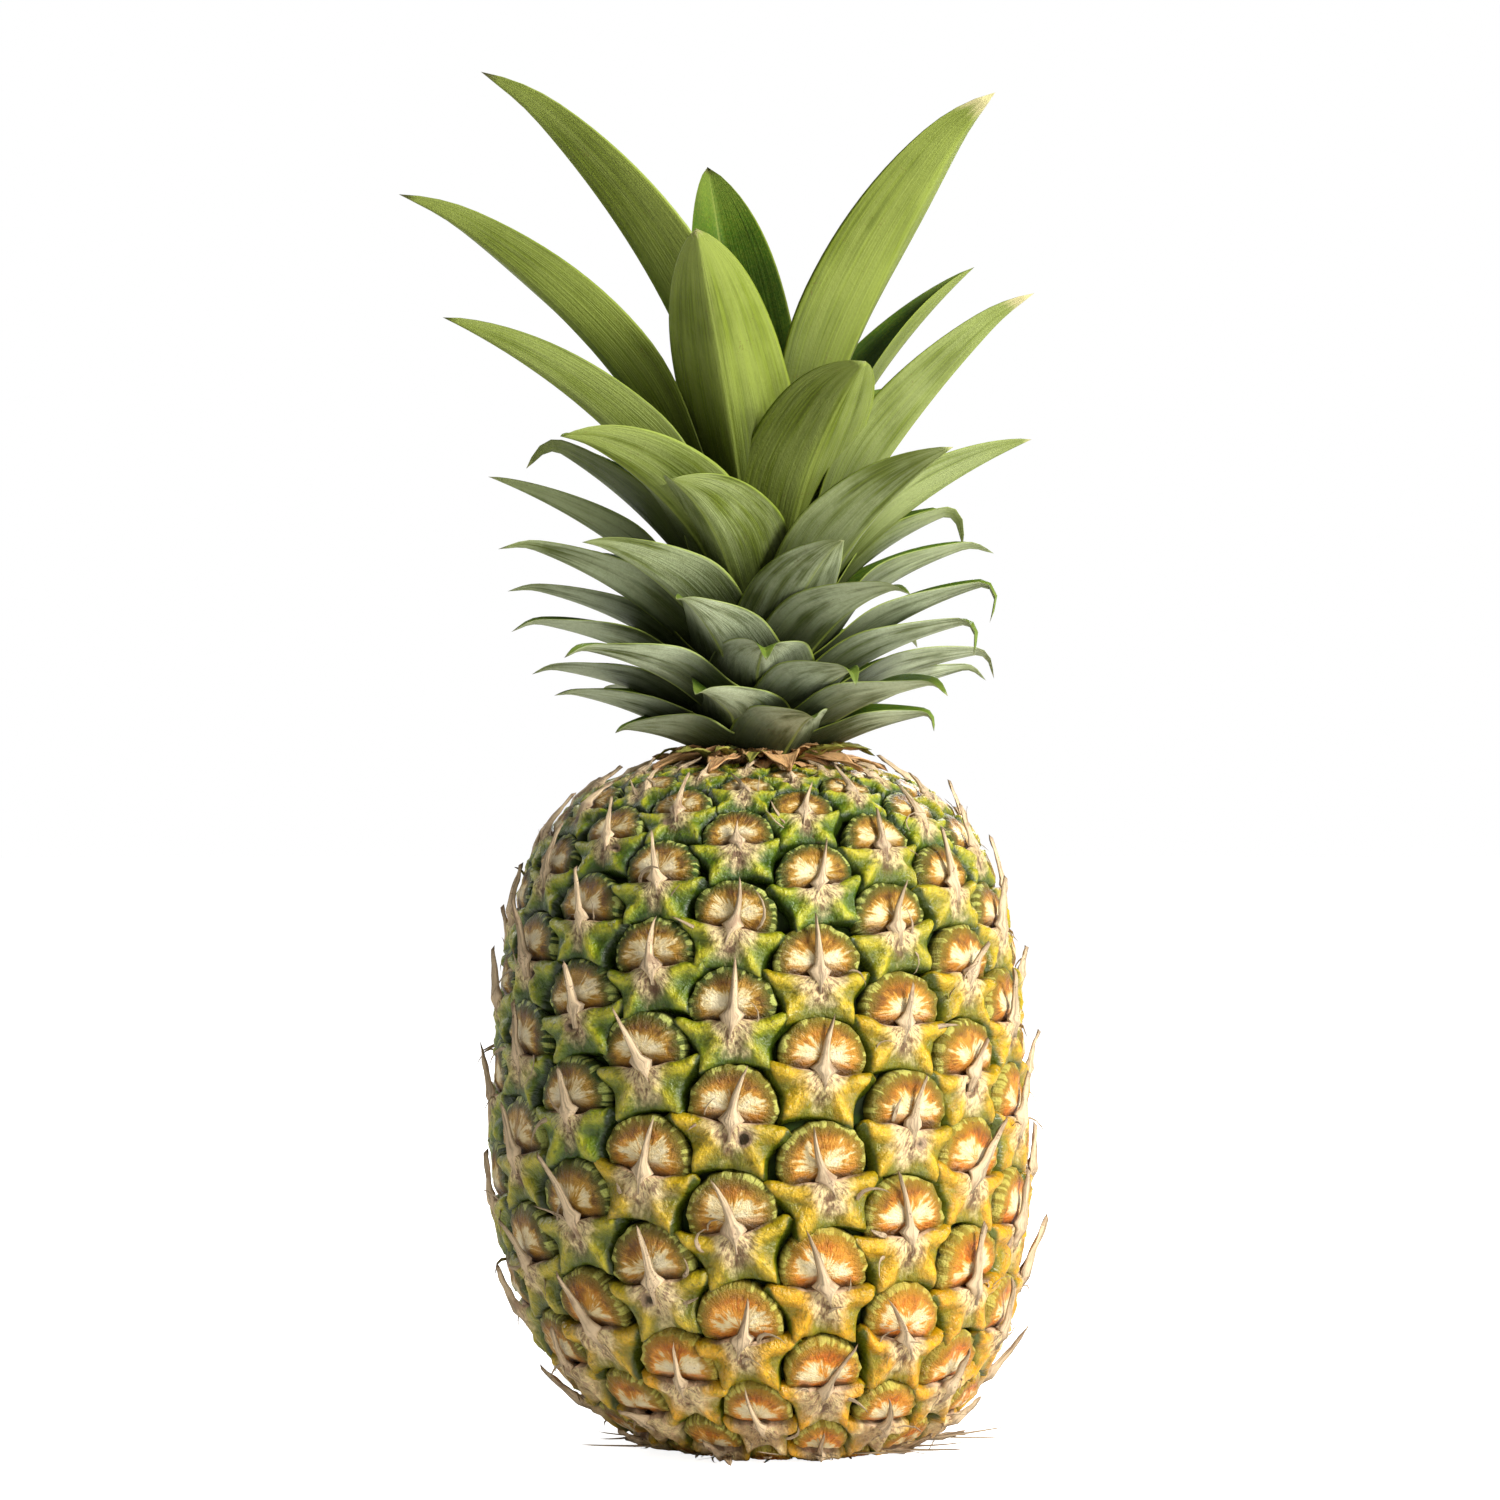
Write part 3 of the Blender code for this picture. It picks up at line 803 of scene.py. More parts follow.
def hump(distance, width):
    """A smooth bump: 1 at no distance, fading over the width."""
    return math.exp(-((distance / width) ** 2))


# ---------------------------------------------------------------- mesh help

# A template is a small mesh whose points know their place on it: "x" and "y" from 0 to 1, and "under",
# which is 1 on the hidden row that gives an open sheet its thickness.
POINT_FACTS = ("x", "y", "under")
CHART_FACTS = ("chart_u", "chart_v")


def grid_template(along, around, shape=None):
    """A grid whose points know their x and y, bent to shape(x, y) and merged, or given a hidden rim."""
    bm = bmesh.new()
    for name in POINT_FACTS:
        bm.verts.layers.float.new(name)
    x_layer, y_layer, under = (bm.verts.layers.float[name] for name in POINT_FACTS)
    for vertex in bmesh.ops.create_grid(bm, x_segments=along, y_segments=around, size=1.0)["verts"]:
        vertex[x_layer] = (vertex.co.x + 1) / 2
        vertex[y_layer] = (vertex.co.y + 1) / 2
        if shape:
            vertex.co = shape(vertex[x_layer], vertex[y_layer] * math.tau)
    if shape:
        bmesh.ops.remove_doubles(bm, verts=bm.verts[:], dist=1e-4)
    else:
        rim = [edge for edge in bm.edges if edge.is_boundary]
        for item in bmesh.ops.extrude_edge_only(bm, edges=rim)["geom"]:
            if isinstance(item, bmesh.types.BMVert):
                item[under] = 1.0
        bm.faces.sort(key=lambda face: face.calc_center_median().dot((1000.0, 1.0, 0.0)))
    bmesh.ops.holes_fill(bm, edges=[edge for edge in bm.edges if edge.is_boundary], sides=0)
    mesh = bpy.data.meshes.new("template")
    bm.to_mesh(mesh)
    bm.free()
    return mesh


def disc_template(rings, rays):
    """A round sheet: x from its middle out, y round it, closed underneath."""
    return grid_template(rings, rays, lambda x, turn: Vector((math.cos(turn), math.sin(turn), 0.0)) * x)


def tube_template(along, around, pointed_foot=False):
    """A tube: x along it, y round it, drawn to a point at its end; its foot is pointed or flat."""

    def shape(x, turn):
        size = 0.0 if x > 1 - 1e-6 or (pointed_foot and x < 1e-6) else 1.0
        return Vector((math.cos(turn) * size, math.sin(turn) * size, x))

    return grid_template(along, around, shape)


def repeat_template(template, items, place, facts):
    """One copy of the template for each item, its points moved to place(item, x, y, under).

    place gives the point and a dict with its facts, which are kept as point layers.
    """
    bm = bmesh.new()
    for _ in items:
        bm.from_mesh(template)
    layers = {name: bm.verts.layers.float.new(name) for name in (*facts, *CHART_FACTS)}
    told = [bm.verts.layers.float[name] for name in POINT_FACTS]
    size = len(template.vertices)
    for index, vertex in enumerate(bm.verts):
        vertex.co, known = place(items[index // size], *(vertex[layer] for layer in told))
        for name, value in known.items():
            vertex[layers[name]] = value
    bpy.data.meshes.remove(template)
    return bm


def finish_piece(bm, name, material, replaces):
    """Turn the bmesh into a smooth piece with its chart as UV map, and hand it to the frame.

    replaces lists the nodes that the piece stands for.
    """
    bmesh.ops.recalc_face_normals(bm, faces=bm.faces[:])
    chart = bm.loops.layers.uv.new("UVMap")
    u, v = (bm.verts.layers.float[name] for name in CHART_FACTS)
    for face in bm.faces:
        face.smooth = True
        for loop in face.loops:
            loop[chart].uv = (loop.vert[u], loop.vert[v])
    mesh = bpy.data.meshes.new(name)
    bm.to_mesh(mesh)
    bm.free()
    for spare in (*POINT_FACTS, *CHART_FACTS):
        mesh.attributes.remove(mesh.attributes[spare])
    mesh.materials.append(material)
    piece = bpy.data.objects.new(name, mesh)
    bpy.context.scene.collection.objects.link(piece)
    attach(piece, BODY)
    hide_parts(*replaces)


def eye_chart(across, up):
    """The chart place of a point of an eye."""
    return {"chart_u": across / CHART + 0.5, "chart_v": up / CHART + 0.5}


def eye_noise(eye, across, up, size):
    """Unevenness of an eye's skin, with bumps of the given size."""
    return noise.noise(Vector((across, up, eye.number * MM)) / size)


def strip_chart(x, y):
    """For a point of a strip's tube: its turn, its side from -1 to 1, and its chart place."""
    turn = y * math.tau
    side = -math.cos(turn)
    return turn, side, {"chart_u": side * 0.5 + 0.5, "chart_v": x}


# ---------------------------------------------------------------- the fruit's pieces


def groove_skin(sizes):
    """The turned skin at the bottom of the grooves, closed at the crown and flat at the base."""

    def place(_, x, y, under):
        along = x * PROFILE_LENGTH
        point = skin_point(y * math.tau, along, -sizes.groove_depth)
        if x < 1e-6 or x > 1 - 1e-6:
            point.xy = (axis_shift(point.z), 0.0)
        if x < 0.5:
            point.z += SCAR_DEPTH * ease((SCAR_EDGE - on_profile(along)[0]) / (3 * MM))
        return point, {"chart_u": y, "chart_v": x}

    return repeat_template(tube_template(90, 120, pointed_foot=True), [None], place, ())


def shields(eyes, sizes):
    """Every eye's domed shield: a low ring round a slightly sunken middle, with a toothed rim."""
    rays = 36
    teeth = {}
    for eye in eyes:
        chance = random.Random(eye.number)
        teeth[eye.number] = [chance.uniform(-1, 1) for _ in range(rays)]

    def place(eye, x, y, under):
        ring = x**0.6
        ray = round(y * rays) % rays
        turn = ray / rays * math.tau
        tooth = teeth[eye.number][ray]
        reach = ring * (1 + tooth * 0.035 * ease((ring - 0.7) / 0.2))
        across = sizes.shield_width * reach * math.sin(turn)
        from_middle = -sizes.shield_height * reach * math.cos(turn)
        up = from_middle + sizes.shield_middle
        fall = ease((ring - 0.91) / 0.09)
        lift = sizes.shield_dome * (1 - 0.70 * ring**2)
        lift += 0.35 * MM * hump(ring - 0.72, 0.16)
        lift -= (sizes.groove_depth + sizes.shield_dome * 0.45) * fall**1.4
        lift += tooth * 0.30 * MM * ease((ring - 0.55) / 0.3) * (1 - fall)
        lift += eye_noise(eye, across, up, 2.8 * MM) * 0.55 * MM * (1 - fall)
        lift -= 1.3 * MM * hump(up, 1.7 * MM)
        lift -= 3.0 * MM * ease((0.2 * MM - up) / (2.4 * MM))
        facts = {"seed": eye.seed, "ripe": eye.ripe, **eye_chart(across, from_middle)}
        return on_eye(eye, across, up, lift), facts

    return repeat_template(disc_template(8, rays), eyes, place, ("seed", "ripe"))


# What makes one bract differ: the spread of its legs, its wings' lengths, how they slope and how puffed
# they are, how deep its torn pit is and on which side. Pairs give the left and the right half.
Character = namedtuple("Character", "legs span slope puff pit pit_side")


def bract_character(eye):
    """A bract's own seeded character."""
    chance = random.Random(eye.number + 500)
    return Character(
        legs=(chance.uniform(0.75, 1.15), chance.uniform(0.75, 1.15)),
        span=(chance.uniform(0.86, 1.05), chance.uniform(0.86, 1.05)),
        slope=(chance.uniform(-1.6, 1.8) * MM, chance.uniform(-1.6, 1.8) * MM),
        puff=(chance.uniform(0.6, 1.3), chance.uniform(0.6, 1.3)),
        pit=chance.uniform(0.6, 1.0) if chance.random() < 0.22 else 0.0,
        pit_side=chance.choice((-1, 1)) * chance.uniform(1.6, 3.6) * MM,
    )


def bracts(eyes, sizes):
    """Every eye's bract: two wings between the neighbours' shields and two legs that run down."""
    characters = {eye.number: bract_character(eye) for eye in eyes}

    def place(eye, x, y, under):
        own = characters[eye.number]
        side = 2 * y - 1
        right = side > 0
        x = x**1.25
        span = sizes.bract_span * own.span[right]
        half = sizes.bract_waist + (span - sizes.bract_waist) * (1 - ease((x - 0.04) / 0.56))
        across = half * side
        top = (-0.5 + 1.5 * side * side) * MM + own.slope[right] * side * side
        top -= 1.9 * MM * ease((abs(side) - 0.84) / 0.16) ** 2
        top += noise.noise(Vector((across / (4 * MM), eye.number, 0.5))) * 0.7 * MM
        bottom = -sizes.bract_drop - 2.6 * MM * side * side
        up = top + (bottom - top) * x
        down = top - up
        leg_at = (1.0 * MM + 0.60 * down) * own.legs[right]
        leg = hump(abs(across) - leg_at, 1.7 * MM) * ease((down - 1.0 * MM) / (3 * MM))
        wing = hump(down - 1.9 * MM, 1.9 * MM) * ease((abs(across) - 1.5 * MM) / (3.5 * MM))
        root = hump(across, 2.6 * MM) * hump(down - 0.8 * MM, 2.6 * MM)
        valley = hump(down - 4.8 * MM, 1.7 * MM) * ease((abs(across) - 4.5 * MM) / (3 * MM))
        panel = hump(across, 2.3 * MM) * ease((down - 5.0 * MM) / (3 * MM))
        side_edge = ease((abs(side) - 0.80) / 0.20) * ease((x + 0.06) / 0.16)
        edge = max(side_edge, ease((x - 0.84) / 0.16))
        crest = min(max(leg, wing, root), 1.0) * (1 - edge)
        lift = 0.9 * MM + 1.2 * MM * leg + 1.3 * MM * own.puff[right] * wing + 1.5 * MM * root
        lift -= 0.7 * MM * valley + 0.7 * MM * panel
        lift -= 0.8 * MM * ease(1 - down / (0.8 * MM)) * ease((abs(across) - 2 * MM) / (3 * MM))
        lift += eye_noise(eye, across, up, 2.4 * MM) * 0.75 * MM
        pit = own.pit * hump(across - own.pit_side, 1.9 * MM) * hump(up + 3.6 * MM, 1.5 * MM)
        pit *= 0.9 + 0.7 * eye_noise(eye, across, up, 1.9 * MM)
        lift -= 2.6 * MM * pit
        lift -= (sizes.groove_depth + 0.8 * MM) * edge**1.8
        lift -= under * 2.0 * MM
        facts = {
            "seed": eye.seed,
            "ripe": eye.ripe,
            "worn": eye.worn,
            "edge": edge,
            "crest": crest,
            "lip": 1.0 if x < 1e-6 else 0.0,
            "pit": pit,
            **eye_chart(across, up),
        }
        return on_eye(eye, across, up, lift), facts

    facts = ("seed", "ripe", "worn", "edge", "crest", "lip", "pit")
    return repeat_template(grid_template(11, 26), eyes, place, facts)


# What makes one spike differ: its length, width, lean and bow to the side, and how far it stands up.
Thorn = namedtuple("Thorn", "reach width lean bow rise")


def own_thorn(eye, sizes):
    """A spike's own seeded measures; a few are broken short or stand far out."""
    chance = random.Random(eye.number + 900)
    reach = sizes.spike_length * chance.uniform(0.62, 0.98)
    if chance.random() < 0.12:
        reach *= 0.55
    rise = chance.uniform(0.4, 2.8) * MM
    if chance.random() < 0.25:
        rise += 2.8 * MM
    return Thorn(
        reach=reach,
        width=sizes.spike_width * chance.uniform(0.82, 1.15),
        lean=chance.gauss(0.0, 0.26),
        bow=chance.uniform(-0.34, 0.34),
        rise=rise,
    )


def spikes(eyes, sizes):
    """Every bract's dry spike: a keeled blade with a flared root that rises over the shield."""
    thorns = {eye.number: own_thorn(eye, sizes) for eye in eyes}

    def place(eye, x, y, under):
        own = thorns[eye.number]
        turn, side, chart = strip_chart(x, y)
        spine = (own.reach + ROOT_LENGTH) * x - ROOT_LENGTH
        above = min(max(spine / own.reach, 0.0), 1.0)
        trunk = 0.25 + 0.75 * ease((spine + ROOT_LENGTH) / (3.5 * MM))
        trunk *= 0.36 * (1 - above) ** 0.9 + 0.03
        shoulder = 0.50 * hump(spine - 0.4 * MM, 1.0 * MM)
        half = own.width / 2 * (trunk + shoulder)
        across = math.sin(own.lean) * spine + own.bow * spine * above + half * side
        up = math.cos(own.lean) * spine - 0.9 * MM * hump(side, 0.55) * hump(spine - 0.4 * MM, 1.3 * MM)
        keel = (1 - abs(side)) * own.width / 2 * (0.25 + 0.2 * (1 - above))
        lift = 1.9 * MM + own.rise * above**1.4 + keel - 1.6 * MM * ease(-spine / ROOT_LENGTH)
        lift += math.sin(turn) * 0.30 * MM * (1 - above) - 1.0 * MM * shoulder * abs(side)
        lift += noise.noise(Vector((x * 5.0, side, eye.number * 1.7))) * 0.7 * MM * x
        return on_eye(eye, across, up, lift), {"seed": eye.seed, **chart}

    return repeat_template(tube_template(14, 8), eyes, place, ("seed",))


# One thin dry strip: the eye it is stuck to, where it starts, which way it heads, how long and wide it
# is, how it curls sideways and how far its end stands up.
Wisp = namedtuple("Wisp", "number eye across up heading reach width curl rise")


def own_wisps(eyes):
    """Dry strips torn from the bracts: none to three for each eye, more of them low on the fruit."""
    chance = random.Random(4711)
    found = []
    for eye in eyes:
        count = chance.choice((0, 1, 2, 2) if on_profile(eye.along)[1] > 70 * MM else (1, 2, 2, 3))
        for _ in range(count):
            side = chance.choice((-1, 1))
            found.append(
                Wisp(
                    number=len(found),
                    eye=eye,
                    across=side * chance.uniform(0.5, 8.0) * MM,
                    up=chance.uniform(-6.0, 0.8) * MM,
                    heading=side * chance.uniform(-0.4, 1.5),
                    reach=chance.uniform(3.5, 9.5) * MM,
                    width=chance.uniform(0.5, 1.8) * MM,
                    curl=chance.uniform(-2.2, 2.2),
                    rise=chance.uniform(0.8, 5.6) * MM,
                )
            )
    return found


def wisps(eyes):
    """The thin dry strips on the bracts."""

    def place(own, x, y, under):
        turn, side, chart = strip_chart(x, y)
        half = own.width / 2 * (1 - x) ** 0.7 * (0.5 + 0.5 * ease(x / 0.25))
        bend = own.heading + own.curl * x
        spine = own.reach * x
        across = own.across + math.sin(bend) * spine + math.cos(bend) * half * side
        up = own.up + math.cos(bend) * spine - math.sin(bend) * half * side
        lift = 1.1 * MM + own.rise * x**1.3 + math.sin(turn) * 0.12 * MM
        lift += noise.noise(Vector((x * 4.0, own.number * 1.9, 0.0))) * 0.8 * MM * x
        return on_eye(own.eye, across, up, lift), {"seed": own.number * 0.137 % 1.0, **chart}

    return repeat_template(tube_template(6, 6), own_wisps(eyes), place, ("seed",))


# One strip of litter under the base: its bearing and distance, its heading and its size.
Strip = namedtuple("Strip", "number bearing distance heading reach width rise")


def base_litter():
    """Dry strips that stick out from under the fruit's base."""
    chance = random.Random(815)
    strips = [
        Strip(
            number=number,
            bearing=number * 2.4,
            distance=chance.uniform(25, 31) * MM,
            heading=number * 2.4 + chance.uniform(-0.75, 0.75),
            reach=chance.uniform(15, 29) * MM,
            width=chance.uniform(1.2, 3.6) * MM,
            rise=chance.uniform(0.2, 3.5) * MM,
        )
        for number in range(22)
    ]

    def place(own, x, y, under):
        turn, side, chart = strip_chart(x, y)
        half = own.width / 2 * (1 - x) ** 0.6 * (0.6 + 0.4 * ease(x / 0.3))
        start = Vector((math.cos(own.bearing), math.sin(own.bearing))) * own.distance
        ahead = Vector((math.cos(own.heading), math.sin(own.heading)))
        wobble = noise.noise(Vector((x * 3.0, own.number * 2.3, 0.0))) * 2.0 * MM * x
        flat = start + ahead * own.reach * x + Vector((-ahead.y, ahead.x)) * (half * side + wobble)
        height = 1.0 * MM + own.rise * x**1.5 + math.sin(turn) * 0.15 * MM + half * side**2 * 0.3
        return Vector((flat.x, flat.y, height)), {"seed": own.number * 0.211 % 1.0, **chart}

    return repeat_template(tube_template(8, 6), strips, place, ("seed",))


def stalk_scar():
    """The cut stalk in the middle of the base: a shallow, fibrous disc."""

    def place(_, x, y, under):
        turn = y * math.tau
        reach = SCAR_RADIUS * x * (1 + 0.03 * math.sin(5 * turn) * x)
        ripple = noise.noise(Vector((math.cos(turn) * x, math.sin(turn) * x, 0.3)) * 6.0) * 0.25 * MM
        height = 0.9 * MM + ripple + 1.6 * MM * ease((x - 0.85) / 0.15)
        facts = {"seed": 0.4, "chart_u": y, "chart_v": x * 0.7}
        return Vector((reach * math.cos(turn), reach * math.sin(turn), height)), facts

    return repeat_template(disc_template(10, 40), [None], place, ("seed",))


# ---------------------------------------------------------------- blades


def stem_radius(height):
    """The crown stem's radius at a height above its foot, both in millimetres."""
    for (r0, z0), (r1, z1) in zip(STEM_PROFILE, STEM_PROFILE[1:]):
        if height <= z1:
            return r0 + (r1 - r0) * (height - z0) / (z1 - z0)
    return STEM_PROFILE[-1][0]


def arch(foot, knee, tip, share):
    """A point on the arch that leaves the foot towards the knee and ends at the tip."""
    return foot * (1 - share) ** 2 + knee * 2 * share * (1 - share) + tip * share**2


def spine_point(blade, share):
    """Outward reach, height and direction of a blade's spine, from its foot (0) to its tip (1)."""
    launch = math.radians(blade.launch)
    foot = Vector((stem_radius(blade.foot) * MM + FOOT_GAP, blade.foot * MM))
    tip = Vector((blade.reach, blade.rise)) * MM
    knee = foot + (tip - foot).length * SPINE_FULLNESS * Vector((math.cos(launch), math.sin(launch)))
    point = arch(foot, knee, tip, share)
    heading = ((knee - foot) * (1 - share) + (tip - knee) * share).normalized()
    if share > HOOK_START:
        pivot = arch(foot, knee, tip, HOOK_START)
        turn = math.radians(blade.hook) * ease((share - HOOK_START) / (1 - HOOK_START))
        bend = Matrix.Rotation(-turn, 2)
        point = pivot + bend @ (point - pivot)
        heading = bend @ heading
    return point, heading


def leaf_breadth(blade, share):
    """A leaf's width: low leaves narrow from a broad foot, upper ones are widest past their middle."""
    strap = ease((blade.foot - 18) / 24)
    low = (1 - share) ** 0.8 * (1 + 0.30 * math.sin(math.pi * share))
    blunt = 2.8 + 1.4 * ease((blade.width - 22.5) / 4)
    high = (0.66 + 0.34 * ease(share / 0.45)) * max(1 - share**blunt, 0.0) ** 0.85
    widest = (0.5 * (24 + blade.width) + 2) * (1 - strap) + (0.82 * blade.width + 6.5) * strap
    return widest * MM * (low * (1 - strap) + high * strap)


def leaf_mesh(blade, number, sizes):
    """A closed leaf: folded along its middle, thin at its edges, gently waved, with a pointed tip."""
    chance = random.Random(number + 77)
    seed = chance.random()
    wave = chance.uniform(0.5, 1.1) * MM
    phase = chance.uniform(0.0, math.tau)
    twist = math.radians(chance.uniform(-9.0, 9.0))
    crease = chance.uniform(-0.16, 0.16)
    young = ease((blade.foot - 12) / 34)
    if math.sin(math.radians(blade.angle)) < 0.35:
        twist -= math.radians(24 * young - 2) * math.cos(math.radians(blade.angle))
    fold = sizes.leaf_fold * (0.80 + 0.20 * ease((blade.foot - 14) / 24))
    dry = DRY_TIPS.get(number, chance.uniform(-0.02, 0.012))
    heading = Matrix.Rotation(math.radians(blade.angle), 3, "Z")

    def place(_, x, y, under):
        turn = y * math.tau
        side = -math.copysign(abs(math.cos(turn)) ** 1.25, math.cos(turn))
        spine, ahead = spine_point(blade, x)
        width = leaf_breadth(blade, x)
        clasp = min(width / (8 * max(spine.x, MM)), 0.34)
        depth = width * (clasp + (fold - clasp) * ease(x / 0.5))
        inward = Vector((-ahead.y, ahead.x))
        thickness = sizes.leaf_thickness * (1.25 - 0.75 * x) * (1 - x**6)
        ripple = wave * math.sin(x * 9.0 + phase) * side**3 * ease(x / 0.3) * (1 - x)
        lift = depth * abs(side) ** 1.12 + ripple - math.sin(turn) * thickness / 2
        sway = width / 2 * (side + crease * ease(x / 0.4) * (1 - side * side))
        roll = twist * ease(x / 0.8)
        out = spine + inward * (lift * math.cos(roll) + sway * math.sin(roll))
        point = heading @ Vector((out.x, sway * math.cos(roll) - lift * math.sin(roll), out.y))
        edge_on = abs(math.sin(turn)) < 1e-6
        facts = {
            "seed": seed,
            "young": young,
            "dry": dry,
            "inner": 0.5 if edge_on else float(math.sin(turn) < 0),
            "chart_u": side * 0.5 + 0.5,
            "chart_v": x,
        }
        return CROWN_FOOT + point, facts

    template = tube_template(sizes.leaf_steps, 24)
    return repeat_template(template, [blade], place, ("seed", "young", "dry", "inner"))


def collar_mesh(blade, number):
    """A dry collar bract: a curled papery triangle that lies over the fruit's shoulder."""
    chance = random.Random(number + 177)
    seed = chance.random()
    curl = chance.uniform(1.0, 3.0) * MM
    heading = Matrix.Rotation(math.radians(blade.angle), 3, "Z")

    def place(_, x, y, under):
        turn, side, chart = strip_chart(x, y)
        spine, ahead = spine_point(blade, x)
        half = blade.width * MM / 2 * (1 - x) ** 0.9 * (1 + 0.3 * math.sin(math.pi * x))
        inward = Vector((-ahead.y, ahead.x))
        crumple = noise.noise(Vector((x * 4.0, side * 2.0, number * 3.1))) * 1.0 * MM
        lift = curl * side**2 * (1 - x) + crumple + 1.4 * MM - math.sin(turn) * 0.25 * MM
        lift -= 1.6 * MM * x**2
        out = spine + inward * lift
        point = heading @ Vector((out.x, half * side, out.y))
        return CROWN_FOOT + point, {"seed": seed, **chart}

    return repeat_template(tube_template(14, 12), [blade], place, ("seed",))


# One small dry scale round the crown's foot: its bearing, start, length and width, how high it arches
# and how far its end droops.
Scale = namedtuple("Scale", "number bearing start reach width rise droop")


def foot_scales(first, count, longest, rise):
    """Small torn scales in three rough rows round the crown's foot, each with its seeded measures."""
    chance = random.Random(2024 + first)
    scales = []
    for number in range(first, first + count):
        row = number % 3
        scales.append(
            Scale(
                number=number,
                bearing=number * 2.399 + chance.uniform(-0.3, 0.3),
                start=(11.0 + 2.6 * row) * MM,
                reach=chance.uniform(0.45, 1.0) * longest,
                width=chance.uniform(3.0, 8.0) * MM,
                rise=chance.uniform(0.3, 1.0) * rise + 1.2 * (2 - row) * MM,
                droop=chance.uniform(0.0, 5.0) * MM,
            )
        )

    def place(own, x, y, under):
        turn, side, chart = strip_chart(x, y)
        half = own.width / 2 * (1 - x) ** 0.8 * (1 + 0.35 * math.sin(math.pi * x))
        out = own.start + own.reach * x
        ragged = noise.noise(Vector((x * 3.0, side * 2.0, own.number * 1.3)))
        height = 0.3 * MM + own.rise * math.sin(math.pi * min(x * 0.75, 0.5)) - own.droop * x**2
        height += 1.2 * MM * side**2 * (1 - x) + ragged * 1.1 * MM + math.sin(turn) * 0.2 * MM
        sway = half * side + ragged * 0.8 * MM * x
        c, s = math.cos(own.bearing), math.sin(own.bearing)
        point = Vector((out * c - sway * s, out * s + sway * c, height))
        return CROWN_FOOT + point, {"seed": own.number * 0.173 % 1.0, **chart}

    return repeat_template(tube_template(8, 8), scales, place, ("seed",))


# ---------------------------------------------------------------- operators


class PINEAPPLE_OT_rind(bpy.types.Operator):
    """Add the skin at the bottom of the grooves, dark green and darkened further by painted shade"""

    bl_idname = "pineapple.rind"
    bl_label = "Rind"

    def execute(self, context):
        finish = groove_finish(context.scene.pineapple_colours)
        bm = groove_skin(context.scene.pineapple_sizes)
        finish_piece(bm, "rind", finish, ["fruit"])
        return {"FINISHED"}


class PINEAPPLE_OT_shields(bpy.types.Operator):
    """Add the domed shield of every eye"""

    bl_idname = "pineapple.shields"
    bl_label = "Eye shields"

    def execute(self, context):
        sizes = context.scene.pineapple_sizes
        bm = shields(eyes_in_sight(SMALLEST_EYE), sizes)
        finish = shield_finish(context.scene.pineapple_colours, sizes)
        finish_piece(bm, "eye_shields", finish, ["fruit"])
        return {"FINISHED"}


class PINEAPPLE_OT_bracts(bpy.types.Operator):
    """Add the winged bract of every eye"""

    bl_idname = "pineapple.bracts"
    bl_label = "Bracts"

    def execute(self, context):
        bm = bracts(eyes_in_sight(SMALLEST_EYE), context.scene.pineapple_sizes)
        finish = bract_finish(context.scene.pineapple_colours)
        finish_piece(bm, "bracts", finish, ["fruit"])
        return {"FINISHED"}


class PINEAPPLE_OT_spikes(bpy.types.Operator):
    """Add the dry spike of every bract"""

    bl_idname = "pineapple.spikes"
    bl_label = "Spikes"

    def execute(self, context):
        colours = context.scene.pineapple_colours
        bm = spikes(eyes_in_sight(SMALLEST_EYE), context.scene.pineapple_sizes)
        finish = dry_finish(colours, "dry_spike", colours.spike, (0.56, 0.44, 0.34))
        finish_piece(bm, "spikes", finish, ["fruit"])
        return {"FINISHED"}


class PINEAPPLE_OT_wisps(bpy.types.Operator):
    """Add the thin dry strips on the bracts and under the base"""

    bl_idname = "pineapple.wisps"
    bl_label = "Wisps and litter"

    def execute(self, context):
        colours = context.scene.pineapple_colours
        finish = dry_finish(colours, "dry_wisp", shade(colours.spike, 0.92), (0.46, 0.30, 0.18))
        finish_piece(wisps(eyes_in_sight(SMALLEST_TORN_EYE)), "wisps", finish, ["fruit"])
        finish_piece(base_litter(), "base_litter", finish, ["fruit"])
        return {"FINISHED"}


class PINEAPPLE_OT_stalk_scar(bpy.types.Operator):
    """Add the cut stalk in the middle of the base"""

    bl_idname = "pineapple.stalk_scar"
    bl_label = "Stalk scar"

    def execute(self, context):
        colours = context.scene.pineapple_colours
        finish = dry_finish(colours, "cut_stalk", colours.stalk, (0.42, 0.30, 0.14))
        finish_piece(stalk_scar(), "stalk_scar", finish, ["fruit"])
        return {"FINISHED"}


class PINEAPPLE_OT_crown_stem(bpy.types.Operator):
    """Finish the crown's stem"""

    bl_idname = "pineapple.crown_stem"
    bl_label = "Crown stem"

    def execute(self, context):
        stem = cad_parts["crown_stem"]
        stem.data.materials.clear()
        stem.data.materials.append(stem_finish(context.scene.pineapple_colours))
        return {"FINISHED"}


class PINEAPPLE_OT_leaves(bpy.types.Operator):
    """Add the crown's leaves"""

    bl_idname = "pineapple.leaves"
    bl_label = "Crown leaves"

    def execute(self, context):
        finish = leaf_finish(context.scene.pineapple_colours)
        for number, blade in enumerate(LEAVES, 1):
            bm = leaf_mesh(blade, number, context.scene.pineapple_sizes)
            finish_piece(bm, f"crown_leaf_{number:02d}", finish, [f"leaf_{number:02d}"])
        return {"FINISHED"}


